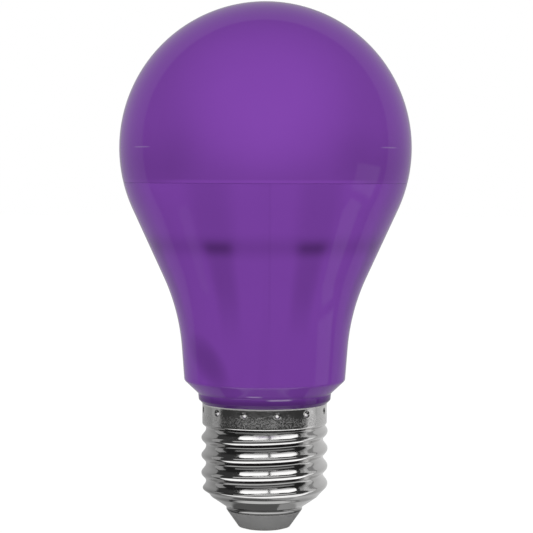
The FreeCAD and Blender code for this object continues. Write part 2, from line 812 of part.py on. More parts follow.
def can_lead_places(foot, length):
    """Where a can's two leads go through the board, above its top end."""
    height = foot + length + CAN_LEAD_RUN
    return [Vector(side * CAN_LEAD_SPACING / 2, board_plane(), height) for side in (-1, 1)]


def filter_lead_places():
    return [Vector(side * FILTER_WIDTH / 4, board_plane(), filter_centre()) for side in (-1, 1)]


def inductor_lead_places():
    spread = INDUCTOR_FLANGE_RADIUS / 2
    return [Vector(side * spread, board_plane(), inductor_centre()) for side in (-1, 1)]


def driver_board():
    neck = bore_radius() - DRIVER_BORE_CLEARANCE
    wide = neck_radius_at(cup_inset() + CUP_WALL, floor_height()) - DRIVER_NECK_CLEARANCE
    top = driver_top()
    half = [(neck, driver_foot()), (neck, floor_height()), (wide, floor_height()),
            (wide, top - DRIVER_CORNER), (wide - DRIVER_CORNER, top)]
    corners = half + [(-x, z) for x, z in reversed(half)]
    outline = Part.makePolygon([Vector(x, back_face(), z) for x, z in corners + corners[:1]])
    board = Part.Face(outline).extrude(Vector(0, DRIVER_THICKNESS, 0))
    places = can_lead_places(input_can_foot(), INPUT_CAN_LENGTH)
    places += can_lead_places(output_can_foot(), OUTPUT_CAN_LENGTH)
    places += filter_lead_places() + inductor_lead_places()
    holes = [lead_hole(place, CAN_LEAD_RADIUS) for place in places]
    holes.append(lead_hole(Vector(0, board_plane(), lead_hole_height()), RESISTOR_LEAD_RADIUS))
    holes.append(lead_hole(Vector(SHELL_LEAD_X, board_plane(), lead_hole_height()), SHELL_LEAD_RADIUS))
    return board.cut(holes)


def lead_hole(place, lead_radius):
    across = Vector(0, DRIVER_THICKNESS, 0)
    return rod(lead_radius + LEAD_HOLE_CLEARANCE, place - across, place + across)


def capacitor_can(foot, length, radius):
    """Round can lying along the board, its two leads bent from its top end into the board."""
    centre_y = front_face() + PART_STANDOFF + radius
    can = turned(path([(0, 0, 0),
                       (radius, 0, CAN_ROUND),
                       (radius, length, CAN_ROUND),
                       (0, length, 0),
                       (0, 0, 0)]))
    can.translate(Vector(0, centre_y, foot))
    tail = back_face() - LEAD_TAIL
    leads = []
    for place in can_lead_places(foot, length):
        start = Vector(place.x, centre_y, foot + length - CAN_ROUND)
        corner = Vector(place.x, centre_y, place.z)
        leads.append(wire_rod([start, corner, Vector(place.x, tail, place.z)], CAN_LEAD_RADIUS, LEAD_BEND))
    return can.fuse(leads).removeSplitter()


def rounded_block(centre, size, round_radius):
    block = box(centre, size)
    return block.makeFillet(round_radius, block.Edges)


def filter_capacitor():
    """Box capacitor on the back of the board, on two straight leads."""
    centre = Vector(0, back_face() - PART_STANDOFF - FILTER_DEPTH / 2, filter_centre())
    body = rounded_block(centre, Vector(FILTER_WIDTH, FILTER_DEPTH, FILTER_HEIGHT), FILTER_ROUND)
    return body.fuse(straight_leads(filter_lead_places(), centre.y)).removeSplitter()


def straight_leads(places, from_y):
    """Leads from a part behind the board through to a short tail in front of it."""
    tail = front_face() + LEAD_TAIL / 2
    return [rod(CAN_LEAD_RADIUS, Vector(p.x, from_y, p.z), Vector(p.x, tail, p.z)) for p in places]


def flat_pack(centre_height, width, height, depth, legs):
    """Moulded package lying on the board's back, with a row of bent legs on each side."""
    face = back_face()
    centre = Vector(0, face - LEG_THICKNESS - depth / 2, centre_height)
    package = box(centre, Vector(width, depth, height))
    parts = []
    leg_plane = face - LEG_THICKNESS / 2
    for side in (-1, 1):
        for index in range(legs):
            x = (index - (legs - 1) / 2) * (LEG_PITCH if legs > 2 else 2 * LEG_PITCH)
            foot_z = centre_height + side * (height / 2 + LEG_REACH / 2)
            foot = box(Vector(x, leg_plane, foot_z), Vector(LEG_WIDTH, LEG_THICKNESS, LEG_REACH))
            rise_depth = LEG_THICKNESS + depth / 2
            rise_z = centre_height + side * (height / 2 + LEG_THICKNESS / 2)
            rise = box(Vector(x, face - rise_depth / 2, rise_z), Vector(LEG_WIDTH, rise_depth, LEG_THICKNESS))
            parts += [foot, rise]
    return package.fuse(parts).removeSplitter()


def inductor_core():
    """Ferrite bobbin with two flanges, standing on the board's back on two leads."""
    core = turned(path([(0, 0, 0),
                        (INDUCTOR_FLANGE_RADIUS, 0, 0),
                        (INDUCTOR_FLANGE_RADIUS, INDUCTOR_FLANGE_THICKNESS, 0),
                        (INDUCTOR_WAIST_RADIUS, INDUCTOR_FLANGE_THICKNESS, 0),
                        (INDUCTOR_WAIST_RADIUS, INDUCTOR_HEIGHT - INDUCTOR_FLANGE_THICKNESS, 0),
                        (INDUCTOR_FLANGE_RADIUS, INDUCTOR_HEIGHT - INDUCTOR_FLANGE_THICKNESS, 0),
                        (INDUCTOR_FLANGE_RADIUS, INDUCTOR_HEIGHT, 0),
                        (0, INDUCTOR_HEIGHT, 0),
                        (0, 0, 0)]))
    stand(core)
    foot = back_face() - PART_STANDOFF - INDUCTOR_FLANGE_THICKNESS / 2
    return core.fuse(straight_leads(inductor_lead_places(), foot)).removeSplitter()


def inductor_coil():
    """Copper winding between the flanges, with a slightly rounded outside."""
    low = INDUCTOR_FLANGE_THICKNESS + COIL_CLEARANCE
    high = INDUCTOR_HEIGHT - low
    inner = INDUCTOR_WAIST_RADIUS + COIL_CLEARANCE
    coil = turned(path([(inner, low, 0),
                        (COIL_RADIUS, low, COIL_ROUND),
                        (COIL_RADIUS, high, COIL_ROUND),
                        (inner, high, 0),
                        (inner, low, 0)]))
    stand(coil)
    return coil


def stand(shape):
    """Lay a shape turned about Z so that it stands out from the back of the driver board."""
    shape.rotate(ORIGIN, Vector(1, 0, 0), 90)
    shape.translate(Vector(0, back_face() - PART_STANDOFF, inductor_centre()))


def fusible_resistor():
    """Resistor in the live lead: its foot lead drops into the contact's shank."""
    body = turned(path([(0, 0, 0),
                        (RESISTOR_RADIUS, 0, RESISTOR_ROUND),
                        (RESISTOR_RADIUS, RESISTOR_LENGTH, RESISTOR_ROUND),
                        (0, RESISTOR_LENGTH, 0),
                        (0, 0, 0)]))
    body.translate(UP * resistor_foot())
    lead_foot = INSULATOR_TOP_HEIGHT + RIVET_THICKNESS - RESISTOR_LEAD_DEPTH
    foot = rod(RESISTOR_LEAD_RADIUS, UP * lead_foot, UP * (resistor_foot() + RESISTOR_ROUND))
    stand_y = front_face() + RESISTOR_LEAD_RADIUS + LEAD_HOLE_CLEARANCE
    start = UP * (resistor_foot() + RESISTOR_LENGTH - RESISTOR_ROUND)
    corner = UP * lead_hole_height()
    tail = Vector(0, back_face() - LEAD_TAIL - stand_y, lead_hole_height())
    top = wire_rod([start, corner, tail], RESISTOR_LEAD_RADIUS, LEAD_BEND / 2)
    resistor = body.fuse([foot, top]).removeSplitter()
    resistor.translate(Vector(0, stand_y, 0))
    return resistor


def shell_lead():
    """Bare lead from the board, under the spigot's foot and up its groove against the cap."""
    y = shell_lead_y()
    low = SPIGOT_FOOT_HEIGHT - SHELL_LEAD_DROP
    outer = shell_lead_radius()
    turn = shell_lead_angle()
    points = [Vector(SHELL_LEAD_X, front_face() + LEAD_TAIL / 2, lead_hole_height()),
              Vector(SHELL_LEAD_X, y, lead_hole_height()),
              Vector(SHELL_LEAD_X, y, low),
              Vector(outer * cos(turn), outer * sin(turn), low),
              Vector(outer * cos(turn), outer * sin(turn), SPIGOT_FOOT_HEIGHT + SHELL_LEAD_RISE)]
    return wire_rod(points, SHELL_LEAD_RADIUS, LEAD_BEND)


def all_nodes():
    nodes = {
        "diffuser_globe": diffuser_globe(),
        "housing": housing(),
        "heat_sink_cup": heat_sink_cup(),
        "led_board": led_board(),
        "board_socket": board_socket(),
        "driver_board": driver_board(),
        "input_capacitor": capacitor_can(input_can_foot(), INPUT_CAN_LENGTH, INPUT_CAN_RADIUS),
        "output_capacitor": capacitor_can(output_can_foot(), OUTPUT_CAN_LENGTH, OUTPUT_CAN_RADIUS),
        "filter_capacitor": filter_capacitor(),
        "bridge_rectifier": flat_pack(bridge_centre(), BRIDGE_WIDTH, BRIDGE_HEIGHT,
                                      BRIDGE_DEPTH, BRIDGE_LEGS),
        "driver_chip": flat_pack(driver_chip_centre(), DRIVER_CHIP_WIDTH, DRIVER_CHIP_HEIGHT,
                                 DRIVER_CHIP_DEPTH, DRIVER_CHIP_LEGS),
        "inductor_core": inductor_core(),
        "inductor_coil": inductor_coil(),
        "fusible_resistor": fusible_resistor(),
        "shell_lead": shell_lead(),
        "cap_shell": cap_shell(),
        "cap_insulator": cap_insulator(),
        "centre_contact": centre_contact(),
    }
    for index in range(CHIP_COUNT):
        nodes[f"led_chip_{index + 1}"] = led_chip(index)
    for index, place in enumerate(screw_places(board_top())):
        nodes[f"board_screw_{index + 1}"] = board_screw(place)
    for index, place in enumerate(pin_places()):
        nodes[f"driver_pin_{index + 1}"] = driver_pin(place)
    return nodes


os.makedirs("parts", exist_ok=True)
for name, shape in all_nodes().items():
    if not shape.isValid():
        print("not valid:", name)
    shape.exportStep(f"parts/{name}.step")
    print(f"{name}: {len(shape.Solids)} solid, {shape.Volume:.1f} mm3")
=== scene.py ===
"""Led bulb with a 27 mm screw cap: the outer pieces, their finishes, the studio and the camera."""
import json
import math

import bpy
from bpy.props import FloatProperty, FloatVectorProperty, IntProperty, PointerProperty
from mathutils import Matrix, Vector


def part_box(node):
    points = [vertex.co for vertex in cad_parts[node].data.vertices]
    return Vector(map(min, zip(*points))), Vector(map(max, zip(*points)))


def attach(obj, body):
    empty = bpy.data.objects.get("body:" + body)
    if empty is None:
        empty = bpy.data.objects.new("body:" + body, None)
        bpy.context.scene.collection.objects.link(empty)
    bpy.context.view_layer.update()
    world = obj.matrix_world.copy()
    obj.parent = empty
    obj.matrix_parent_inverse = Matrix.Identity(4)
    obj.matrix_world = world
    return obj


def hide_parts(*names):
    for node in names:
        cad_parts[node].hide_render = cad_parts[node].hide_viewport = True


bl_info = {
    "name": "Led bulb",
    "version": (1, 0, 0),
    "blender": (4, 5, 0),
    "location": "3D View > Sidebar > Bulb",
    "description": "Turns the bulb's outer pieces, gives every piece its finish and sets the studio",
    "category": "Object",
}

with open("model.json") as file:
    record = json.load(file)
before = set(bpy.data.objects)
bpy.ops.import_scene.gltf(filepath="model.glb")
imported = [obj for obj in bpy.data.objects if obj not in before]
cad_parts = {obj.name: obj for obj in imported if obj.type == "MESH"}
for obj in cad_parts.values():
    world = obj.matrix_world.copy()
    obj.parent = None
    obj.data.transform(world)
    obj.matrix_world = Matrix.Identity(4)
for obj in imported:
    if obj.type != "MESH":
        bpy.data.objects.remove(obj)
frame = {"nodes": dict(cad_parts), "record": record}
MM = 0.001
BULB_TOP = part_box("diffuser_globe")[1].z
# The photograph shows the cap's edge a little higher than the solid has it.
CAP_RISE = 0.2 * MM
CAP_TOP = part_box("cap_shell")[1].z + CAP_RISE


def length(name, description, default):
    return FloatProperty(name=name, description=description, default=default * MM,
                         min=0, precision=5, subtype="DISTANCE", unit="LENGTH")


def angle(name, description, default):
    return FloatProperty(name=name, description=description, default=math.radians(default), subtype="ANGLE")


def colour(name, description, default):
    return FloatVectorProperty(name=name, description=description, default=default,
                               size=3, min=0, max=1, subtype="COLOR")


class BULB_PG_body(bpy.types.PropertyGroup):
    """Sizes of the globe and the housing"""
    globe_radius: length("Globe radius", "Outside radius of the globe", 30.0)
    seam_drop: length("Seam drop", "Height of the globe's middle over the seam with the housing", 7.1)
    wall: length("Wall", "Wall of the globe and the housing", 1.5)
    lip_wall: length("Lip", "Wall of the globe's lip inside the housing's rim", 0.7)
    lap_height: length("Lap", "Height of the lap joint below the seam", 3.0)
    lap_clearance: length("Lap clearance", "Space between lip and rim", 0.1)
    seam_round: length("Seam round", "Round on both edges at the seam", 0.11)
    flare: angle("Flare", "Half angle of the housing's flare", 24.6)
    hollow_radius: length("Hollow radius", "Radius of the hollow curve above the neck", 42.6)
    neck_draft: angle("Neck draft", "Draft of the neck", 4.4)
    neck_radius: length("Neck radius", "Radius of the neck at the shoulder", 16.602)
    shoulder_height: length("Shoulder height", "Height of the shoulder's edge", 30.7)
    shoulder_angle: angle("Shoulder angle", "Slope of the shoulder's chamfer to the axis", 46.7)
    collar_radius: length("Collar radius", "Radius at the top of the collar", 13.74)
    collar_draft: angle("Collar draft", "Draft of the collar", 5.5)
    collar_bevel: length("Collar bevel", "Bevel at the collar's foot", 0.75)
    bore_radius: length("Bore radius", "Bore of the spigot inside the cap", 10.204)
    spigot_foot: length("Spigot foot", "Height of the spigot's foot", 16.0)
    columns: IntProperty(name="Columns", description="Faces round the globe and the housing",
                         default=240, min=24)


class BULB_PG_cap(bpy.types.PropertyGroup):
    """Sizes of the screw cap, its insulator and its contact"""
    crest_radius: length("Crest radius", "Radius of the thread's crests", 13.05)
    skirt_step: length("Skirt step", "How far the skirt lies inside the crests", 0.18)
    wall: length("Wall", "Thickness of the rolled sheet", 0.35)
    pitch: length("Pitch", "Rise of the thread in one turn", 25.4 / 7)
    crest_arc: length("Crest arc", "Radius of the thread's crest on its upper side", 0.80)
    lower_crest_arc: length("Lower crest arc", "Radius of the thread's crest on its lower side", 1.00)
    root_arc: length("Root arc", "Radius of the thread's root above each crest", 1.26)
    lower_root_arc: length("Lower root arc", "Radius of the thread's root below each crest", 0.75)
    thread_depth: length("Thread depth", "Depth of the thread from crest to root", 0.96)
    upper_run: length("Upper run", "Height from a crest up to the root above it", 1.93)
    crest_height: length("Crest height", "Height of one crest on the X axis", 16.728)
    lean: length("Lean", "How much lower the thread lies on the +X side than round the axis", 0.166)
    foot_radius: length("Foot radius", "Radius where the thread runs out into the foot", 11.47)
    foot_height: length("Foot height", "Height where the thread runs out into the foot", 7.2)
    foot_slope: angle("Foot slope", "Slope of the foot to the axis", 35.0)
    cone_angle: angle("End cone", "Rise of the end cone", 34.0)
    rim_radius: length("Rim radius", "Outer radius of the rim round the insulator", 7.84)
    rim_height: length("Rim height", "Height of the rim", 3.8)
    rim_lip: length("Rim lip", "Height of the rim's upright lip below the end cone", 0.65)
    rim_round: length("Rim round", "Round from the end cone into the lip", 0.8)
    mark_count: IntProperty(name="Punch marks", description="Number of punch marks on the skirt", default=12)
    mark_radius: length("Mark radius", "Radius of a punch mark", 0.62)
    mark_depth: length("Mark depth", "Depth of a punch mark", 0.4)
    mark_drop: length("Mark drop", "Height of the marks below the cap's top", 1.25)
    mark_start: angle("First mark", "Angle of the first punch mark", -78.5)
    columns: IntProperty(name="Columns", description="Faces round the cap", default=324, min=36)
    rows: IntProperty(name="Rows", description="Faces along one turn of the thread", default=28, min=8)


class BULB_PG_finish(bpy.types.PropertyGroup):
    """Colours of the bulb's finishes"""
    purple: colour("Purple", "Moulded purple of the globe", (0.205, 0.0575, 0.385))
    housing_purple: colour("Housing purple", "Moulded purple of the opaque housing", (0.203, 0.0570, 0.385))
    nickel: colour("Nickel", "Plate of the screw cap", (0.66, 0.655, 0.65))
    insulator: colour("Insulator", "Grey of the insulator", (0.312, 0.311, 0.309))
    backdrop: colour("Backdrop", "Colour of the floor and the backdrop", (1.0, 1.0, 1.0))


# Outlines: lists of (radius, height) from which the pieces are turned

def arc_points(centre, radius, first, last, step=2.0):
    """Points of an arc from one angle to another, both in radians."""
    count = max(2, math.ceil(abs(math.degrees(last - first)) / step))
    angles = [first + (last - first) * index / count for index in range(count + 1)]
    return [(centre[0] + radius * math.cos(a), centre[1] + radius * math.sin(a)) for a in angles]


def rounded(corners, step=9.0):
    """Points of a run of corners (radius, height, round), whose first and last corners stay sharp."""
    points = [corners[0][:2]]
    for before, here, after in zip(corners, corners[1:], corners[2:]):
        size = here[2] if len(here) > 2 else 0
        corner = Vector(here[:2])
        if not size:
            points.append(tuple(corner))
            continue
        back = (Vector(before[:2]) - corner).normalized()
        ahead = (Vector(after[:2]) - corner).normalized()
        half = back.angle(ahead) / 2
        reach = size / math.tan(half)
        centre = corner + (back + ahead).normalized() * (size / math.sin(half))
        start = corner + back * reach - centre
        turn = start.angle_signed(corner + ahead * reach - centre)
        count = max(2, math.ceil(abs(math.degrees(turn)) / step))
        for index in range(count + 1):
            spoke = start.copy()
            spoke.rotate(Matrix.Rotation(-turn * index / count, 2))
            points.append(tuple(centre + spoke))
    points.append(corners[-1][:2])
    return points


def with_supports(points, gap=0.1 * MM, least=0.6 * MM):
    """The same outline with a point close to each end of its long runs, so that rounds shade cleanly."""
    result = [points[0]]
    for start, end in zip(points, points[1:]):
        a, b = Vector(start), Vector(end)
        run = (b - a).length
        if run > least:
            result += [tuple(a.lerp(b, gap / run)), tuple(b.lerp(a, gap / run))]
        result.append(end)
    return result


def circle_radius(radius, middle, height):
    return math.sqrt(max(radius ** 2 - (height - middle) ** 2, 0))


# Mesh work

def turned(name, outline, columns):
    """Turns a closed outline, or one that starts and ends on the axis, round Z into a closed piece."""
    first = outline[0]
    bpy.ops.mesh.primitive_plane_add(size=MM, location=(first[0], 0, first[1]))
    piece = bpy.context.object
    piece.name = piece.data.name = name
    bpy.ops.object.transform_apply(location=True, rotation=True, scale=True)
    bpy.ops.object.mode_set(mode="EDIT")
    bpy.ops.mesh.select_all(action="SELECT")
    bpy.ops.mesh.merge(type="CENTER")
    for start, end in zip(outline, outline[1:]):
        step = (end[0] - start[0], 0, end[1] - start[1])
        bpy.ops.mesh.extrude_vertices_move(TRANSFORM_OT_translate={"value": step})
    bpy.ops.mesh.select_all(action="SELECT")
    bpy.ops.mesh.spin(steps=columns, angle=2 * math.pi, center=(0, 0, 0), axis=(0, 0, 1))
    bpy.ops.mesh.select_all(action="SELECT")
    bpy.ops.mesh.remove_doubles(threshold=0.002 * MM)
    bpy.ops.mesh.normals_make_consistent(inside=False)
    bpy.ops.object.mode_set(mode="OBJECT")
    return piece


def finish_piece(piece, node, material, sharp=35):
    """Smooth shading of the piece just made, its material, and its place in the frame."""
    bpy.ops.object.shade_smooth_by_angle(angle=math.radians(sharp))
    piece.data.materials.append(material)
    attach(piece, "root")
    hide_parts(node)


def smooth_step(value, low, high):
    share = min(max((value - low) / (high - low), 0), 1)
    return share * share * (3 - 2 * share)


# Shader nodes

def rgb(value):
    return (*value[:3], 1.0)


class Sheet:
    """A node tree with short calls for adding nodes and links."""

    def __init__(self, tree):
        self.tree = tree
        self.count = 0

    def give(self, socket, value):
        """Links a socket to another one, or sets its value."""
        if isinstance(value, bpy.types.NodeSocket):
            self.tree.links.new(value, socket)
        else:
            socket.default_value = value

    def node(self, kind, values=None, **settings):
        made = self.tree.nodes.new(kind)
        made.location = (200 * (self.count % 8) - 1200, 300 - 220 * (self.count // 8))
        self.count += 1
        for name, value in settings.items():
            setattr(made, name, value)
        for name, value in (values or {}).items():
            self.give(made.inputs[name], value)
        return made

    def maths(self, operation, *values):
        made = self.node("ShaderNodeMath", operation=operation)
        for socket, value in zip(made.inputs, values):
            self.give(socket, value)
        return made.outputs[0]

    def plus(self, a, b):
        return self.maths("ADD", a, b)

    def less(self, a, b):
        return self.maths("SUBTRACT", a, b)

    def larger(self, a, b):
        return self.maths("MAXIMUM", a, b)

    def product(self, first, *others):
        for value in others:
            first = self.maths("MULTIPLY", first, value)
        return first

    def diagonal(self, a, b):
        return self.maths("SQRT", self.plus(self.product(a, a), self.product(b, b)))

    def blend(self, share, first, second):
        """Mixes two colours. The node's sockets have the same names for each type, so they go by number."""
        first, second = (rgb(value) if isinstance(value, tuple) else value for value in (first, second))
        made = self.node("ShaderNodeMix", {0: share, 6: first, 7: second}, data_type="RGBA", clamp_factor=True)
        return made.outputs[2]

    def soft(self, value, low, high, out_low=0.0, out_high=1.0):
        """Smooth step of a value between two limits."""
        made = self.node("ShaderNodeMapRange", {"Value": value, "From Min": low, "From Max": high,
                                                "To Min": out_low, "To Max": out_high},
                         interpolation_type="SMOOTHSTEP")
        return made.outputs["Result"]

    def fade(self, value, low, high, *ends):
        """Smooth step between two limits in millimetres."""
        return self.soft(value, low * MM, high * MM, *ends)

    def near(self, value, centre, outer, inner, most=1.0):
        """Mask that is full within one distance of a centre and gone beyond another, in millimetres."""
        away = self.maths("ABSOLUTE", self.less(value, centre * MM))
        return self.fade(away, outer, inner, 0.0, most)

    def position(self):
        return self.node("ShaderNodeTexCoord").outputs["Object"]

    def axes(self, vector=None):
        parts = self.node("ShaderNodeSeparateXYZ", {"Vector": vector or self.position()})
        return parts.outputs["X"], parts.outputs["Y"], parts.outputs["Z"]

    def noise(self, vector, scale, detail=2.0, roughness=0.5):
        made = self.node("ShaderNodeTexNoise", {"Vector": vector, "Scale": scale, "Detail": detail,
                                                "Roughness": roughness})
        return made.outputs["Fac"]

    def bump(self, height, strength, distance, normal=None):
        """Bump with its distance in millimetres."""
        values = {"Height": height, "Strength": strength, "Distance": distance * MM}
        if normal is not None:
            values["Normal"] = normal
        return self.node("ShaderNodeBump", values).outputs["Normal"]

    def group(self, effect_name, **values):
        """The outputs of a node with one of the shared effects."""
        return self.node("ShaderNodeGroup", values, node_tree=shared(effect_name)).outputs

    def band(self, low, high, softness):
        """Mask of the heights between two limits in millimetres."""
        return self.group("band", Low=low * MM, High=high * MM, Softness=softness * MM)["Mask"]

    def drift(self, tone, amount, patches):
        return self.group("drift", Tone=rgb(tone), Amount=amount, Patches=patches)["Tone"]


def effect(name, inputs, outputs):
    """An empty shader node group with its sockets, and a sheet to fill it on."""
    tree = bpy.data.node_groups.new(name, "ShaderNodeTree")
    for way, sockets in (("INPUT", inputs), ("OUTPUT", outputs)):
        for socket, kind in sockets.items():
            tree.interface.new_socket(name=socket, in_out=way, socket_type=kind)
    sheet = Sheet(tree)
    return tree, sheet, sheet.node("NodeGroupInput").outputs, sheet.node("NodeGroupOutput").inputs


FLOAT, COLOUR = "NodeSocketFloat", "NodeSocketColor"


def fine_grain():
    """Fine uneven surface of moulded or rolled pieces: a height and a mask that changes slowly."""
    tree, sheet, given, out = effect(
        "Fine grain", {"Grain": FLOAT, "Patches": FLOAT}, {"Height": FLOAT, "Patch": FLOAT})
    place = sheet.position()
    sheet.give(out["Height"], sheet.noise(place, given["Grain"], 3.0, 0.6))
    sheet.give(out["Patch"], sheet.noise(place, given["Patches"]))
    return tree


def tone_drift():
    """A colour that is a little lighter and darker over the piece."""
    tree, sheet, given, out = effect(
        "Tone drift", {"Tone": COLOUR, "Amount": FLOAT, "Patches": FLOAT}, {"Tone": COLOUR})
    wave = sheet.noise(sheet.position(), given["Patches"], 3.0, 0.55)
    swing = sheet.product(sheet.less(wave, 0.5), given["Amount"], 2.0)
    factor = sheet.plus(swing, 1.0)
    scaled = sheet.node("ShaderNodeVectorMath", {0: given["Tone"], "Scale": factor}, operation="SCALE")
    sheet.give(out["Tone"], scaled.outputs["Vector"])
    return tree


def height_band():
    """A soft band round the axis between two heights."""
    tree, sheet, given, out = effect(
        "Height band", {"Low": FLOAT, "High": FLOAT, "Softness": FLOAT}, {"Mask": FLOAT})
    z = sheet.axes()[2]
    masks = []
    for limit, ends in (("Low", (0.0, 1.0)), ("High", (1.0, 0.0))):
        fades = [sheet.maths(way, given[limit], given["Softness"]) for way in ("SUBTRACT", "ADD")]
        masks.append(sheet.soft(z, *fades, *ends))
    sheet.give(out["Mask"], sheet.product(*masks))
    return tree


EFFECTS = {"grain": fine_grain, "drift": tone_drift, "band": height_band}


def shared(name):
    """The shared effect of that name, made on first use."""
    held = shared.__dict__.setdefault("made", {})
    if name not in held:
        held[name] = EFFECTS[name]()
    return held[name]


def cleared(owner):
    """A sheet on the emptied node tree of a material or a world."""
    owner.use_nodes = True
    owner.node_tree.nodes.clear()
    return Sheet(owner.node_tree)


def new_material(name, values):
    """A material with one Principled shader, and a sheet to finish it on."""
    material = bpy.data.materials.new(name)
    sheet = cleared(material)
    surface = sheet.node("ShaderNodeBsdfPrincipled", values)
    sheet.node("ShaderNodeOutputMaterial", {"Surface": surface.outputs["BSDF"]})
    return material, sheet, surface


def feed(sheet, surface, **sockets):
    for name, value in sockets.items():
        sheet.give(surface.inputs[name.replace("_", " ")], value)


def in_front(sheet, y):
    """Mask of the side that faces the camera."""
    return sheet.fade(y, 0.0, -4.0)


# Painted shade, light and marks of the purple pieces

def painted_neck_shade(sheet, x, y, z):
    """A soft slanting painted shade low on the neck, in front on the left."""
    aside, up = sheet.plus(x, 11.2 * MM), sheet.less(z, 35.3 * MM)
    across = sheet.plus(sheet.product(aside, 0.85), sheet.product(up, 0.53))
    along = sheet.less(sheet.product(aside, 0.53), sheet.product(up, 0.85))
    off = sheet.plus(*(sheet.maths("POWER", sheet.maths("DIVIDE", way, size), 2.0)
                       for way, size in ((across, 2.1 * MM), (along, 4.8 * MM))))
    return sheet.product(sheet.soft(off, 2.6, -0.5), in_front(sheet, y))


def painted_housing_shade(sheet, x, y, z):
    """How much darker the housing is painted: painted shade where something stands behind its wall, down the neck
    and on the collar's lower part, and a painted slanting shade on the neck.
    """
    # Painted shade of what stands behind the wall: a band, stripes, spots and a thin line.
    turn = sheet.maths("ARCTAN2", x, sheet.product(y, -1.0))
    wave = sheet.maths("COSINE", sheet.product(turn, 8.0))
    stripes = sheet.soft(wave, 0.25, -1.0)
    above = sheet.product(stripes, sheet.fade(z, 56.0, 61.0))
    below = sheet.product(sheet.soft(wave, -0.25, -1.0), sheet.fade(z, 61.0, 57.0), sheet.fade(z, 37.5, 51.0))
    spots = sheet.product(sheet.band(57.7, 59.7, 1.6), sheet.maths("POWER", stripes, 1.7),
                          sheet.near(x, 0.0, 19.8, 17.2))
    line = sheet.product(sheet.near(x, 0.9, 0.4, 0.1), sheet.fade(z, 40.0, 46.0))
    # Painted shade: darker down the neck, and much darker on the collar's lower part.
    neck, foot = sheet.fade(z, 50.0, 36.0), sheet.fade(z, 29.0, 26.8)
    shade = sheet.product(sheet.band(57.5, 60.2, 2.0), 0.21)
    for mask, strength in ((above, 0.12), (below, 0.19), (spots, 0.30), (line, 0.05), (neck, 0.07), (foot, 0.58),
                           (painted_neck_shade(sheet, x, y, z), 0.31)):
        shade = sheet.plus(shade, sheet.product(mask, strength))
    return shade


# Height, left end and right end of each glint on the collar, in mm
COLLAR_GLINTS = ((28.60, -3.6, -0.6), (27.85, 0.6, 5.4))


def collar_glints(sheet, tone, x, y, z):
    """Adds the short light reflections in front on the collar."""
    for height, left, right in COLLAR_GLINTS:
        glint = sheet.product(sheet.near(z, height, 0.22, 0.05),
                              sheet.fade(x, left - 0.6, left + 1.0),
                              sheet.fade(x, right + 0.6, right - 1.0), in_front(sheet, y))
        tone = sheet.blend(sheet.product(glint, 0.30), tone, (0.80, 0.72, 0.88))
    return tone


def globe_shade_light_and_marks(sheet, tone, colour, darker, x):
    """Adds painted shade on the globe's lower sides, a painted light line at the globe's edge over the seam, and
    short marks of the parting line at its sides.
    """
    side = sheet.maths("ABSOLUTE", x)
    # Painted shade on the globe's lower sides.
    lower = sheet.product(sheet.band(70.0, 79.0, 5.5),
                          sheet.fade(side, 11.0, 19.0, 0.0, 0.15))
    # Painted light line along the globe's edge over the seam.
    edge = sheet.product(sheet.band(71.3, 71.9, 0.3),
                         sheet.fade(side, 22.0, 16.0, 0.15, 0.6))
    mark = sheet.product(sheet.band(78.3, 78.5, 0.1), sheet.fade(side, 22.2, 23.6),
                         sheet.fade(side, 26.4, 25.0), 0.2)
    lighter = tuple(min(1.0, c * 1.3) for c in colour)
    for mask, other in ((lower, darker), (edge, lighter), (mark, (0.62, 0.58, 0.68))):
        tone = sheet.blend(mask, tone, other)
    return tone


def purple_material(housing):
    """Glossy purple plastic, with the painted shade and light of the housing or of the globe, and the globe's
    parting marks.
    """
    finish = bpy.context.scene.bulb_finish
    name, colour = ("Purple housing", finish.housing_purple) if housing else ("Purple globe", finish.purple)
    material, sheet, surface = new_material(name, {"Roughness": 0.05, "Specular IOR Level": 0.25, "IOR": 1.5})
    darker = tuple(c * 0.1 for c in colour)
    tone = sheet.drift(colour, 0.035, 55.0)
    x, y, z = sheet.axes()
    if housing:
        # Painted shade on the housing, then painted glints on its collar.
        tone = sheet.blend(painted_housing_shade(sheet, x, y, z), tone, darker)
        tone = collar_glints(sheet, tone, x, y, z)
    else:
        # Painted shade and light on the globe, with its parting marks.
        tone = globe_shade_light_and_marks(sheet, tone, colour, darker, x)
    grain = sheet.group("grain", Grain=2600.0, Patches=90.0)
    feed(sheet, surface, Base_Color=tone, Normal=sheet.bump(grain["Height"], 0.04, 0.02))
    return material


# Metal, insulator and plain pieces

# Colour of the painted shade on the cap, and of the painted dark reflection in its punch marks
SHADE_TONE = (0.05, 0.05, 0.05)


def punch_mark_shade_and_highlight(sheet, tone, cap, x, y, z):
    """Adds the painted dark reflection on the edge and upper half of each punch mark. Also gives the mask of its
    painted highlight at the bottom.
    """
    sector = 2 * math.pi / cap.mark_count
    turn = sheet.less(sheet.maths("ARCTAN2", y, x), cap.mark_start)
    place = sheet.maths("DIVIDE", turn, sector)
    place = sheet.less(place, sheet.maths("ROUND", place))
    aside = sheet.product(place, sector * (cap.crest_radius - cap.skirt_step))
    up = sheet.less(z, CAP_TOP - cap.mark_drop)
    away = sheet.diagonal(aside, up)
    upper = sheet.product(sheet.soft(away, cap.mark_radius * 1.1, cap.mark_radius * 0.9),
                          sheet.fade(up, 0.0, 0.16, 0.0, 0.85))
    ring = sheet.near(away, cap.mark_radius / MM, 0.16, 0.05, 0.65)
    tone = sheet.blend(sheet.larger(upper, ring), tone, SHADE_TONE)
    bottom = sheet.diagonal(aside, sheet.plus(up, 0.17 * MM))
    return tone, sheet.fade(bottom, 0.40, 0.22)


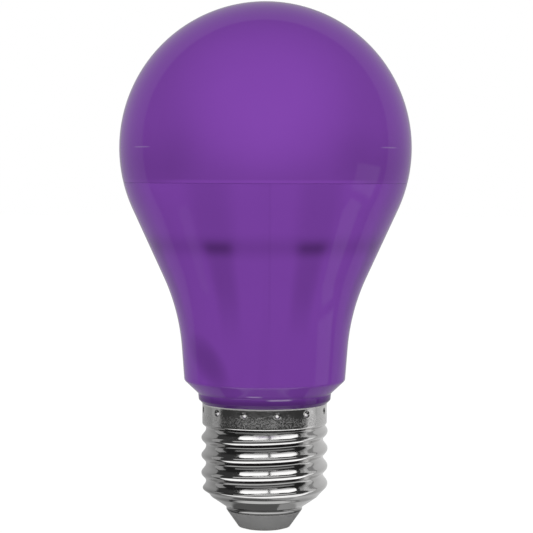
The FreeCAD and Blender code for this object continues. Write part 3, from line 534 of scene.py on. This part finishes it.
def painted_cap_shade(sheet, tone, x, y, z):
    """Adds painted shade to the cap: darkens the thread's roots in front, and the foot, most of all at its sides
    and at the rim's lip.
    """
    side = sheet.maths("ABSOLUTE", x)
    roots = sheet.product(sheet.fade(sheet.diagonal(x, y), 12.62, 12.34),
                          sheet.fade(side, 9.5, 7.0, 0.0, 0.65), in_front(sheet, y),
                          sheet.fade(z, 8.8, 9.6), sheet.fade(z, 21.6, 20.8))
    foot = sheet.product(sheet.fade(z, 9.2, 8.2), sheet.fade(side, 3.5, 8.5, 0.08, 0.36))
    cone_end = sheet.fade(z, 4.6, 4.4, 0.0, 0.35)
    lip = sheet.fade(z, 4.12, 4.02, 0.0, 0.85)
    for mask in (roots, foot, cone_end, lip):
        tone = sheet.blend(mask, tone, SHADE_TONE)
    return tone


def nickel_material():
    """Bright nickel plate on a rolled shell, slightly uneven, mottled on the skirt."""
    nickel, cap = bpy.context.scene.bulb_finish.nickel, bpy.context.scene.bulb_cap
    material, sheet, surface = new_material("Nickel plate", {
        "Metallic": 1.0, "Roughness": 0.1, "Base Color": rgb(nickel)})
    grain = sheet.group("grain", Grain=1500.0, Patches=420.0)
    skirt = sheet.band(22.0, 30.0, 0.6)
    lower_skirt = sheet.band(22.0, 24.0, 0.8)
    mottle = sheet.plus(sheet.product(lower_skirt, 0.75), sheet.product(skirt, 0.12))
    speck = sheet.soft(sheet.noise(sheet.position(), 4200.0, 2.0, 0.6), 0.44, 0.62, 0.0, 0.42)
    rough = sheet.plus(sheet.soft(grain["Patch"], 0.3, 0.75, 0.06, 0.14), sheet.product(mottle, speck))
    grain_depth = sheet.plus(sheet.product(skirt, 0.45), 0.03)
    normal = sheet.bump(grain["Patch"], 0.22, 0.12)
    normal = sheet.bump(grain["Height"], grain_depth, 0.05, normal)

    x, y, z = sheet.axes()
    tone, bottom = punch_mark_shade_and_highlight(sheet, sheet.drift(nickel, 0.05, 300.0), cap, x, y, z)
    tone = painted_cap_shade(sheet, tone, x, y, z)
    # Places that aren't metal: the sheet's cut edge, painted flat light grey, which also stands in for the light
    # line along the cap's top, and a painted near-white highlight at the bottom of each punch mark.
    cut = sheet.soft(z, CAP_TOP - 0.32 * MM, CAP_TOP - 0.22 * MM, 0.0, 0.8)
    for mask, edge_and_highlight_tone in ((cut, (0.48, 0.47, 0.47)), (bottom, (1.0, 0.99, 0.98))):
        tone = sheet.blend(mask, tone, edge_and_highlight_tone)
    metallic_share = sheet.less(1.0, sheet.larger(cut, bottom))
    feed(sheet, surface, Base_Color=tone, Metallic=metallic_share, Roughness=rough, Normal=normal)
    return material


def insulator_material():
    material, sheet, surface = new_material("Grey insulator", {"Roughness": 0.6, "Specular IOR Level": 0.35})
    grain = sheet.group("grain", Grain=6000.0, Patches=300.0)
    feed(sheet, surface, Base_Color=sheet.drift(bpy.context.scene.bulb_finish.insulator, 0.12, 500.0),
         Roughness=sheet.soft(grain["Patch"], 0.3, 0.7, 0.52, 0.68),
         Normal=sheet.bump(grain["Height"], 0.25, 0.04))
    return material


# Finish of a plain piece: colour, metallic, roughness, drift, patches, grain, bump
PLAIN_FINISHES = {
    "contact_metal": ("Tinned contact", (0.60, 0.55, 0.46), 1.0, 0.28, 0.10, 700, 3000, 0.20),
    "cup_aluminium": ("Drawn aluminium", (0.72, 0.72, 0.73), 1.0, 0.34, 0.06, 90, 2200, 0.25),
    "white_board": ("White solder mask", (0.78, 0.79, 0.77), 0.0, 0.38, 0.04, 160, 5200, 0.15),
    "led_package": ("Light chip", (0.86, 0.66, 0.20), 0.0, 0.30, 0.08, 900, 5000, 0.20),
    "white_socket": ("White socket", (0.74, 0.73, 0.70), 0.0, 0.42, 0.04, 220, 4200, 0.20),
    "steel_fastener": ("Zinc-plated steel", (0.56, 0.57, 0.58), 1.0, 0.26, 0.08, 800, 5200, 0.22),
    "tinned_pin": ("Tinned pin", (0.68, 0.67, 0.64), 1.0, 0.24, 0.05, 900, 5200, 0.15),
    "green_board": ("Green circuit board", (0.028, 0.145, 0.052), 0.0, 0.36, 0.10, 260, 3800, 0.25),
    "black_sleeve": ("Black sleeve", (0.022, 0.022, 0.026), 0.0, 0.34, 0.12, 260, 3600, 0.20),
    "yellow_film": ("Yellow box", (0.62, 0.36, 0.045), 0.0, 0.42, 0.06, 240, 4200, 0.20),
    "black_package": ("Black moulding", (0.026, 0.026, 0.027), 0.0, 0.56, 0.10, 500, 7000, 0.40),
    "ferrite": ("Ferrite", (0.050, 0.048, 0.047), 0.0, 0.62, 0.16, 600, 6000, 0.45),
    "resistor_coat": ("Resistor coat", (0.30, 0.40, 0.44), 0.0, 0.44, 0.08, 400, 4600, 0.25),
    "tinned_wire": ("Tinned wire", (0.66, 0.65, 0.62), 1.0, 0.27, 0.07, 800, 4200, 0.18),
}


def plain_material(slot):
    name, tone, metallic, roughness, drift, patches, grain_scale, bump = PLAIN_FINISHES[slot]
    material, sheet, surface = new_material(name, {"Metallic": metallic})
    grain = sheet.group("grain", Grain=grain_scale, Patches=patches)
    feed(sheet, surface, Base_Color=sheet.drift(tone, drift, patches),
         Roughness=sheet.soft(grain["Patch"], 0.3, 0.7, roughness - 0.06, roughness + 0.08),
         Normal=sheet.bump(grain["Height"], bump, 0.03))
    return material


def copper_material():
    """Enamelled copper wire, wound turn by turn."""
    wire = 0.28 * MM
    material, sheet, surface = new_material("Enamelled copper", {"Metallic": 1.0})
    along = sheet.axes()[1]
    groove_and_shade = sheet.soft(sheet.maths("SINE", sheet.product(along, 2 * math.pi / wire)), -1.0, 0.2)
    grain = sheet.group("grain", Grain=4200.0, Patches=500.0)
    normal = sheet.bump(groove_and_shade, 0.7, 0.1)
    # The grooves between the turns are painted darker, as shade.
    feed(sheet, surface, Base_Color=sheet.blend(groove_and_shade, (0.16, 0.045, 0.016), (0.62, 0.23, 0.085)),
         Roughness=sheet.soft(grain["Patch"], 0.3, 0.7, 0.2, 0.34),
         Normal=sheet.bump(grain["Height"], 0.15, 0.02, normal))
    return material


# Pieces

# Where the hollow curve above the neck meets the drafted neck, as radius and height
NECK_TOP = Vector((17.1205 * MM, 37.435 * MM))
# Between the globe's lip and the ledge below it
END_CLEARANCE = 0.2 * MM
# The corner's own round at the seam as a share of the space kept for it, and its step in degrees
SEAM_SHARE, SEAM_STEP = 0.9, 18


def lap_outline(body, inset, top, foot):
    """Arc on a circle parallel to the globe, from one height down to another."""
    radius = body.globe_radius - inset
    middle = BULB_TOP - body.globe_radius
    return arc_points((0, middle), radius, math.asin((top - middle) / radius), math.asin((foot - middle) / radius))


class BULB_OT_globe(bpy.types.Operator):
    """Turns the translucent globe with its lip"""
    bl_idname = "bulb.make_globe"
    bl_label = "Make the globe"

    def execute(self, context):
        body = context.scene.bulb_body
        middle = BULB_TOP - body.globe_radius
        seam = middle - body.seam_drop
        lip_inset = body.wall - body.lip_wall
        foot = seam - body.lap_height + END_CLEARANCE
        outside = lap_outline(body, 0, BULB_TOP, seam + body.seam_round)
        edge = circle_radius(body.globe_radius, middle, seam)
        lip = lap_outline(body, lip_inset, seam, foot)
        inside = lap_outline(body, body.wall, foot, middle + body.globe_radius - body.wall)
        corner = rounded([outside[-1], (edge, seam, body.seam_round * SEAM_SHARE), lip[0]], SEAM_STEP)
        outline = outside[:-1] + corner + lip[1:] + inside
        outline[0] = (0, BULB_TOP)
        outline[-1] = (0, BULB_TOP - body.wall)
        piece = turned("globe", outline, body.columns)
        finish_piece(piece, "diffuser_globe", purple_material(housing=False))
        return {"FINISHED"}


class BULB_OT_housing(bpy.types.Operator):
    """Turns the housing with its flare, neck, shoulder, collar and spigot"""
    bl_idname = "bulb.make_housing"
    bl_label = "Make the housing"

    spigot_clearance, spigot_wall = 0.22 * MM, 1.29 * MM
    floor_rise = 0.9 * MM  # of the inner floor over the shoulder
    spigot_drop, taper_drop = 2.55 * MM, 4.55 * MM  # ends of the spigot's wide part and taper below the cap's edge

    def execute(self, context):
        body = context.scene.bulb_body
        cap = context.scene.bulb_cap
        middle = BULB_TOP - body.globe_radius
        seam = middle - body.seam_drop
        lap_foot = seam - body.lap_height
        lap_inset = body.wall - body.lip_wall - body.lap_clearance

        outside = self.body_line(body, 0, seam - body.seam_round)
        inside = self.body_line(body, body.wall, lap_foot)
        shoulder, collar, draft = body.shoulder_height, body.collar_radius, math.tan(body.collar_draft)
        collar_top = shoulder - (body.neck_radius - collar) / math.tan(body.shoulder_angle)
        collar_foot = collar - (collar_top - CAP_TOP - body.collar_bevel) * draft
        spigot = cap.crest_radius - cap.skirt_step - cap.wall - self.spigot_clearance
        root_fit = body.bore_radius + self.spigot_wall
        floor = shoulder + self.floor_rise
        wall_foot = NECK_TOP.x - body.wall - (NECK_TOP.y - floor) * math.tan(body.neck_draft)
        lower = rounded([
            outside[-1], (body.neck_radius, shoulder, 0.9 * MM), (collar, collar_top, 0.5 * MM),
            (collar_foot, CAP_TOP + body.collar_bevel, 0.4 * MM),
            (collar_foot - body.collar_bevel, CAP_TOP, 0.05 * MM),
            (spigot, CAP_TOP), (spigot, CAP_TOP - self.spigot_drop), (root_fit, CAP_TOP - self.taper_drop),
            (root_fit, body.spigot_foot, 0.3 * MM), (body.bore_radius, body.spigot_foot, 0.3 * MM),
            (body.bore_radius, floor), (wall_foot, floor, 0.5 * MM), inside[-1]])
        edge = circle_radius(body.globe_radius, middle, seam)
        lap = lap_outline(body, lap_inset, seam, lap_foot)
        rim = rounded([lap[0], (edge, seam, body.seam_round * SEAM_SHARE), outside[0]], SEAM_STEP)
        outline = with_supports(lap[::-1] + rim[1:] + outside[1:] + lower[1:-1] + inside[::-1] + [lap[-1]])
        piece = turned("housing_body", outline, body.columns)
        finish_piece(piece, "housing", purple_material(housing=True))
        return {"FINISHED"}

    @staticmethod
    def body_line(body, inset, top):
        """The flare's outline, or a wall parallel to it, from the seam down to the neck."""
        middle = BULB_TOP - body.globe_radius
        radius = body.globe_radius - inset
        globe = arc_points((0, middle), radius, math.asin((top - middle) / radius), -body.flare, 1.5)
        draft = body.neck_draft
        centre = NECK_TOP + Vector((math.cos(draft), -math.sin(draft))) * body.hollow_radius
        hollow = arc_points(centre, body.hollow_radius + inset, math.pi - body.flare, math.pi - draft, 1.0)
        return globe + hollow


class BULB_OT_cap(bpy.types.Operator):
    """Turns the blank of the screw cap, rolls its thread and presses its punch marks"""
    bl_idname = "bulb.make_cap"
    bl_label = "Make the screw cap"

    edge_round, foot_round = 0.05 * MM, 1.2 * MM
    thread_drop = 2.35 * MM  # of the topmost rolled row below the cap's edge
    fade_drops = 5.0 * MM, 4.0 * MM  # between which the thread fades into the skirt
    squeeze = 0.55  # how much closer together the columns stand at the punch marks
    squeeze_drops = 6.0 * MM, 2.6 * MM  # between which they come closer

    def execute(self, context):
        cap = context.scene.bulb_cap
        blank = self.blank(cap)
        piece = turned("screw_cap", blank, cap.columns)
        self.roll(piece, cap)
        finish_piece(piece, "cap_shell", nickel_material(), 40)
        return {"FINISHED"}

    @staticmethod
    def foot(cap, inset):
        """Corners of the foot, from the thread's end down its slope and end cone to the rim."""
        slope, rise = math.tan(cap.foot_slope), math.tan(cap.cone_angle)
        slope_radius = cap.foot_radius - inset / math.cos(cap.foot_slope)
        cone_height = cap.rim_height + cap.rim_lip + inset / math.cos(cap.cone_angle)
        on_axis = slope_radius - cap.foot_height * slope
        height = (cone_height + (on_axis - cap.rim_radius) * rise) / (1 - slope * rise)
        corner = (slope_radius + (height - cap.foot_height) * slope, height, BULB_OT_cap.foot_round - inset)
        return [(slope_radius, cap.foot_height), corner, (cap.rim_radius - inset, cone_height - inset * rise)]

    def blank(self, cap):
        """Outline of the wall before rolling: down the outside, round the rim and up the inside."""
        skirt = cap.crest_radius - cap.skirt_step
        thread_top = CAP_TOP - self.thread_drop

        def rows(count, low, high):
            return [low + (high - low) * index / count for index in range(count + 1)]

        turns = (thread_top - cap.foot_height) / cap.pitch
        outside = [(skirt - self.edge_round, CAP_TOP), (skirt, CAP_TOP - self.edge_round)]
        outside += [(skirt, z) for z in rows(22, thread_top, CAP_TOP - 0.08 * MM)[::-1]]
        outside += [(skirt, z) for z in rows(int(turns * cap.rows), cap.foot_height, thread_top)[-2::-1]][:-1]
        rim = (cap.rim_radius - cap.wall, cap.rim_height)
        start, corner, end = self.foot(cap, 0)
        lip = (cap.rim_radius, cap.rim_height, 0.06 * MM)
        foot = with_supports(rounded([start, corner, (*end, cap.rim_round), lip, rim], 5))
        inner_foot = rounded(self.foot(cap, cap.wall), 12)[::-1]
        inside = [(skirt - cap.wall, z) for z in rows(int(turns * 9), cap.foot_height, thread_top)[1:]]
        inside += [(skirt - cap.wall, z) for z in rows(8, thread_top, CAP_TOP)[1:]]
        outline = outside + foot + inner_foot + inside
        return outline + [outline[0]]

    def roll(self, piece, cap):
        """Moves the blank's points out and in to the thread's form, and in where the marks are."""
        skirt = cap.crest_radius - cap.skirt_step
        ball = (cap.mark_radius ** 2 + cap.mark_depth ** 2) / (2 * cap.mark_depth)
        ball_centre = skirt - cap.mark_depth + ball
        mark_height = CAP_TOP - cap.mark_drop
        sector = 2 * math.pi / cap.mark_count
        for vertex in piece.data.vertices:
            x, y, z = vertex.co
            radius = math.hypot(x, y)
            turn = math.atan2(y, x)
            # Columns stand closer together where the marks are.
            place = (turn - cap.mark_start) / sector
            place -= round(place)
            fine = self.squeeze * smooth_step(z, *(CAP_TOP - drop for drop in self.squeeze_drops))
            shift = -fine * math.sin(2 * math.pi * place) / (2 * math.pi) * sector
            turn += shift
            if radius > skirt - cap.wall - 0.01 * MM:
                inset = 0 if radius > skirt - cap.wall / 2 else cap.wall
                if cap.foot_height + 0.001 * MM < z < CAP_TOP - 2.3 * MM:
                    radius = self.rolled_radius(cap, turn, z, inset)
                off = (place * sector + shift) * radius
                drop = z - mark_height
                reach = (ball + inset) ** 2 - off ** 2 - drop ** 2
                if abs(drop) < cap.mark_radius * 1.6 and reach > 0:
                    pressed = ball_centre - math.sqrt(reach)
                    radius = self.soft_least(pressed, radius, 0.05 * MM)
            vertex.co = (radius * math.cos(turn), radius * math.sin(turn), z)

    @staticmethod
    def soft_least(a, b, blend):
        """The smaller of two values, with a small round where they are equal."""
        share = max(blend - abs(a - b), 0) / blend
        return min(a, b) - share * share * blend / 4

    @staticmethod
    def rolled_radius(cap, turn, z, inset):
        """Radius of the rolled wall at an angle and a height, outside or further in."""
        skirt = cap.crest_radius - cap.skirt_step - inset
        crest = cap.crest_height + cap.pitch * turn / (2 * math.pi) - cap.lean * math.cos(turn)
        off, run, arc, root = (z - crest) % cap.pitch, cap.upper_run, cap.crest_arc, cap.root_arc
        if off > run:
            off, run, arc, root = cap.pitch - off, cap.pitch - run, cap.lower_crest_arc, cap.lower_root_arc
        room = arc + root - cap.thread_depth
        flank = math.asin((arc + root) / math.hypot(run, room)) - math.atan2(room, run)
        top, bottom = arc - inset, root + inset
        crest_centre = cap.crest_radius - arc
        if off < top * math.sin(flank):
            thread = crest_centre + math.sqrt(top ** 2 - off ** 2)
        elif off > run - bottom * math.sin(flank):
            thread = crest_centre + room - math.sqrt(bottom ** 2 - (run - off) ** 2)
        else:
            thread = crest_centre + top * math.cos(flank) - (off - top * math.sin(flank)) * math.tan(flank)
        fade = smooth_step(z, *(CAP_TOP - drop for drop in BULB_OT_cap.fade_drops))
        upper = thread * (1 - fade) + skirt * fade
        foot = cap.foot_radius - inset / math.cos(cap.foot_slope) + (z - cap.foot_height) * math.tan(cap.foot_slope)
        # The thread runs out into the foot more slowly on the -X side.
        run_out = (1.0 + 0.6 * max(0, -math.cos(turn))) * MM
        rise = smooth_step(z, cap.foot_height - 0.1 * MM, cap.foot_height + run_out)
        return foot * (1 - rise) + upper * rise


# The contact's disc, hollow shank and flange: radius, height and round of each corner, in mm
CONTACT_CORNERS = ((0, 0), (4.6, 0, 0.22), (4.6, 0.7), (1.5, 0.7), (1.5, 6.0), (2.4, 6.0), (2.4, 6.4, 0.12),
                   (0.9, 6.4, 0.3), (0.9, 0.7), (0, 0.7))


class BULB_OT_insulator(bpy.types.Operator):
    """Turns the insulator and the contact at the cap's end"""
    bl_idname = "bulb.make_insulator"
    bl_label = "Make the insulator and the contact"

    def execute(self, context):
        cap = context.scene.bulb_cap
        seat, top, hole = 0.7 * MM, 6.0 * MM, 1.6 * MM
        waist = BULB_OT_cap.foot(cap, cap.wall + 0.12 * MM)[2]
        flange = waist[0] + (top - waist[1]) / math.tan(cap.cone_angle)
        shoulder = cap.rim_height - 0.1 * MM
        outline = rounded([
            (hole, seat), (4.7 * MM, seat), (4.7 * MM, 0.25 * MM), (5.3 * MM, 0.25 * MM, 0.15 * MM),
            (cap.rim_radius - 0.1 * MM, shoulder, 0.1 * MM), (waist[0], shoulder), waist,
            (flange, top), (hole, top), (hole, seat)], 12)
        piece = turned("insulator_cone", with_supports(outline), 160)
        finish_piece(piece, "cap_insulator", insulator_material())

        corners = [tuple(value * MM for value in corner) for corner in CONTACT_CORNERS]
        piece = turned("contact_rivet", with_supports(rounded(corners, 12)), 96)
        finish_piece(piece, "centre_contact", plain_material("contact_metal"))
        return {"FINISHED"}


class BULB_OT_inner_finishes(bpy.types.Operator):
    """Gives every inner piece its finish"""
    bl_idname = "bulb.finish_inner_pieces"
    bl_label = "Finish the inner pieces"

    def execute(self, context):
        slots = {part["node"]: part["material_slot"] for part in frame["record"]["subparts"]}
        made = {}
        for name, node in frame["nodes"].items():
            slot = slots.get(name)
            if slot not in PLAIN_FINISHES and slot != "copper_wire":
                continue
            if slot not in made:
                made[slot] = copper_material() if slot == "copper_wire" else plain_material(slot)
            node.data.materials.clear()
            node.data.materials.append(made[slot])
        return {"FINISHED"}


# Studio: lamps have a name, a place, a width and a height, and a power

ROOM_LAMPS = (
    ("Front softbox", (0.03, -1.30, 0.45), (0.9, 0.9), 4.2),
    ("Left rear softbox", (-1.22, 0.45, 0.35), (0.9, 0.9), 4.0),
    ("Right rear softbox", (1.22, 0.45, 0.35), (0.9, 0.9), 4.0),
)
# Softboxes that show in gloss alone. The cap mirrors them, and the last value says if the housing does so too.
MIRRORED_LAMPS = (
    ("Left high softbox", (-0.18, -0.165, 0.62), (0.42, 0.33), 0.66, True),
    ("Right high softbox", (0.27, -0.165, 0.62), (0.40, 0.33), 0.62, True),
    ("Fore high softbox", (0.0, -0.54, 0.62), (0.56, 0.16), 0.50, False),
    ("Fore low softbox", (0.0, -0.60, 0.155), (2.0, 0.35), 1.3, False),
    ("Right side softbox", (0.92, 0.77, -0.10), (2.2, 3.4), 5.6, False),
    ("Right inner softbox", (1.19, 0.14, -0.10), (0.5, 3.4), 1.8, False),
    ("Left side softbox", (-1.18, 0.20, 0.10), (0.5, 1.2), 0.65, False),
)
BULB_MIDDLE, CAP_MIDDLE = (0, 0, 0.07), (0, 0, 0.015)
# Boxes of light that gloss shows in the world: the turns from the camera's side, in degrees, and the heights of the
# view direction between which each fades in and out, and its strength
GLOSS_WINDOWS = (
    ((75, 79, 101, 105), (-0.44, -0.40, -0.17, -0.13), 0.55),
    ((80, 83, 97, 101), (-0.66, -0.64, -0.51, -0.48), 0.55),
    ((-97, -90, -82, -76), (-0.67, -0.64, -0.59, -0.56), 0.28),
)
# The photograph's camera: its focal length is in widths of the picture
CAMERA_PLACE = (0.29 * MM, -400 * MM, 73 * MM)
CAMERA_DIP, CAMERA_ROLL = math.radians(2.707), math.radians(0.205)
FOCAL_LENGTH, SENSOR_WIDTH = 1941.8 / 533, 36


class BULB_OT_stage(bpy.types.Operator):
    """Adds the floor, the backdrop, the lamps and the camera"""
    bl_idname = "bulb.make_stage"
    bl_label = "Make the studio"

    def execute(self, context):
        self.floor(context)
        self.world(context)
        for name, place, size, power in ROOM_LAMPS:
            self.lamp(name, place, BULB_MIDDLE, size, power)
        self.globe_spot()
        self.mirrored_lamps(context)
        self.camera(context)
        context.scene.view_settings.view_transform = "Standard"
        return {"FINISHED"}

    @staticmethod
    def seen_background(sheet):
        """1 for rays that show the background: from the camera, in gloss and through clear pieces."""
        path = sheet.node("ShaderNodeLightPath").outputs
        seen = sheet.larger(path["Is Camera Ray"], path["Is Glossy Ray"])
        return path, sheet.larger(seen, path["Is Transmission Ray"])

    def floor(self, context):
        """White but for the bulb's shadow. In gloss it shows a painted shadow, dark under the bulb, and a glowing
        bright ring in front, and past them it shows the studio."""
        bpy.ops.mesh.primitive_plane_add(size=6.0, location=(0, 0, -0.02 * MM))
        floor = context.object
        floor.name = "floor"
        bpy.ops.object.transform_apply(location=True, rotation=True, scale=True)
        material = bpy.data.materials.new("Pale floor")
        sheet = cleared(material)
        path, seen = self.seen_background(sheet)

        def mix(share, first, second):
            return sheet.node("ShaderNodeMixShader", {0: share, 1: first, 2: second}).outputs[0]

        def glow(strength):
            white = rgb(context.scene.bulb_finish.backdrop)
            return sheet.node("ShaderNodeEmission", {"Color": white, "Strength": strength}).outputs[0]

        pale = sheet.node("ShaderNodeBsdfDiffuse", {"Color": (0.80, 0.80, 0.80, 1)}).outputs[0]
        plain = mix(sheet.product(seen, 0.94), pale, glow(1.05))
        x, y, z = sheet.axes()
        away = sheet.diagonal(x, y)
        # In gloss: a glowing bright ring in front of the bulb, and a painted shadow under it.
        ring = sheet.larger(sheet.fade(away, 9.2, 10.0, 0.0, 0.5), sheet.fade(away, 12.5, 14.5))
        ring = sheet.product(ring, sheet.fade(away, 40.0, 26.0), sheet.fade(y, -6.0, -10.0))
        mirrored = mix(ring, sheet.node("ShaderNodeBsdfTransparent").outputs[0], glow(1.5))
        mirrored = mix(sheet.fade(away, 9.0, 8.0), mirrored, glow(0.12))
        sheet.node("ShaderNodeOutputMaterial", {"Surface": mix(path["Is Glossy Ray"], plain, mirrored)})
        floor.data.materials.append(material)

    @staticmethod
    def window(sheet, turn, z, turns, heights):
        """Mask of one soft-edged box of the gloss windows."""
        a, b, c, d = (math.radians(value) for value in turns)
        low, full, fading, high = heights
        return sheet.product(sheet.soft(turn, a, b), sheet.soft(turn, d, c),
                             sheet.soft(z, low, full), sheet.soft(z, high, fading))

    def world(self, context):
        """White where the camera looks. In gloss it is white behind the bulb and dark on the camera's side."""
        world = bpy.data.worlds.new("Studio")
        context.scene.world = world
        sheet = cleared(world)
        path, seen = self.seen_background(sheet)
        x, y, z = sheet.axes(sheet.node("ShaderNodeTexCoord").outputs["Generated"])
        lift = sheet.plus(sheet.product(sheet.larger(z, 0), 0.13), sheet.soft(z, -0.70, -0.90, 0.0, 0.19))
        edge = sheet.soft(sheet.less(y, lift), 0.335, 0.365)
        gloss = sheet.plus(sheet.product(edge, sheet.soft(y, 0.36, 0.95, 0.26, 0.40)), 0.045)
        turn = sheet.maths("ARCTAN2", x, sheet.product(y, -1.0))
        for turns, heights, strength in GLOSS_WINDOWS:
            box = sheet.product(self.window(sheet, turn, z, turns, heights), strength)
            gloss = sheet.larger(gloss, box)
        shown = sheet.larger(gloss, path["Is Camera Ray"])
        shown = sheet.larger(shown, path["Is Transmission Ray"])
        room_light = 0.62
        total = sheet.node("ShaderNodeMix", {0: seen, 2: room_light, 3: shown}, data_type="FLOAT").outputs[0]
        light = sheet.node("ShaderNodeBackground", {"Color": rgb(context.scene.bulb_finish.backdrop),
                                                    "Strength": total})
        sheet.node("ShaderNodeOutputWorld", {"Surface": light.outputs[0]})

    @staticmethod
    def placed_lamp(kind, name, place, target, power):
        """A lamp that looks at its target and isn't mirrored."""
        bpy.ops.object.light_add(type=kind, location=place)
        lamp = bpy.context.object
        lamp.name = lamp.data.name = name
        lamp.data.energy = power
        lamp.rotation_euler = (Vector(target) - lamp.location).to_track_quat("-Z", "Y").to_euler()
        lamp.visible_glossy = False
        return lamp

    def lamp(self, name, place, target, size, power):
        lamp = self.placed_lamp("AREA", name, place, target, power)
        lamp.data.shape = "RECTANGLE"
        lamp.data.size, lamp.data.size_y = size
        lamp.visible_camera = False
        return lamp

    def globe_spot(self):
        """A soft round light on the front of the globe."""
        lamp = self.placed_lamp("SPOT", "Globe spot", (0, -1.2, 0.13), (0, -0.03, 0.0890), 14.0)
        lamp.data.spot_size = math.radians(2.0)
        lamp.data.spot_blend = 1.0
        lamp.data.shadow_soft_size = 2 * MM

    def mirrored_lamps(self, context):
        """Softboxes above, before and beside the bulb. Those above hang level."""
        def collection(name, members):
            group = bpy.data.collections.new(name)
            context.scene.collection.children.link(group)
            for member in members:
                group.objects.link(bpy.data.objects[member])
            return group

        cap_only = collection("Cap only", ["screw_cap"])
        lower_body = collection("Cap and housing", ["screw_cap", "housing_body"])
        for name, place, size, power, on_housing in MIRRORED_LAMPS:
            lamp = self.lamp(name, place, CAP_MIDDLE, size, power)
            if "high" in name:
                lamp.rotation_euler = (0, 0, 0)
            lamp.visible_glossy = True
            lamp.visible_diffuse = False
            lamp.light_linking.receiver_collection = lower_body if on_housing else cap_only
            lamp.light_linking.blocker_collection = lower_body

    def camera(self, context):
        bpy.ops.object.camera_add(location=CAMERA_PLACE)
        camera = context.object
        camera.name = "Photograph view"
        tilt = Matrix.Rotation(math.radians(90) - CAMERA_DIP, 4, "X")
        roll = Matrix.Rotation(CAMERA_ROLL, 4, "Z")
        camera.rotation_euler = (tilt @ roll).to_euler()
        camera.data.sensor_width = SENSOR_WIDTH
        camera.data.lens = SENSOR_WIDTH * FOCAL_LENGTH
        camera.data.clip_start = 0.01
        context.scene.camera = camera


class BULB_PT_panel(bpy.types.Panel):
    """Sizes, colours and steps of the led bulb"""
    bl_idname = "BULB_PT_panel"
    bl_label = "Led bulb"
    bl_space_type = "VIEW_3D"
    bl_region_type = "UI"
    bl_category = "Bulb"

    def draw(self, context):
        for holder, group in GROUPS.items():
            box = self.layout.box()
            box.label(text=group.__doc__)
            for name in group.__annotations__:
                box.prop(getattr(context.scene, holder), name)
        for step in STEPS:
            self.layout.operator(step.bl_idname)


GROUPS = {"bulb_body": BULB_PG_body, "bulb_cap": BULB_PG_cap, "bulb_finish": BULB_PG_finish}
STEPS = (BULB_OT_globe, BULB_OT_housing, BULB_OT_cap, BULB_OT_insulator, BULB_OT_inner_finishes, BULB_OT_stage)
CLASSES = (*GROUPS.values(), *STEPS, BULB_PT_panel)


def register():
    for kind in CLASSES:
        bpy.utils.register_class(kind)
    for name, group in GROUPS.items():
        setattr(bpy.types.Scene, name, PointerProperty(type=group))


def unregister():
    for name in GROUPS:
        delattr(bpy.types.Scene, name)
    for kind in reversed(CLASSES):
        bpy.utils.unregister_class(kind)


def main():
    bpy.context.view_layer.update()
    register()
    bpy.ops.object.select_all(action="DESELECT")
    for step in STEPS:
        getattr(bpy.ops.bulb, step.bl_idname.removeprefix("bulb."))()


if __name__ == "__main__":
    main()
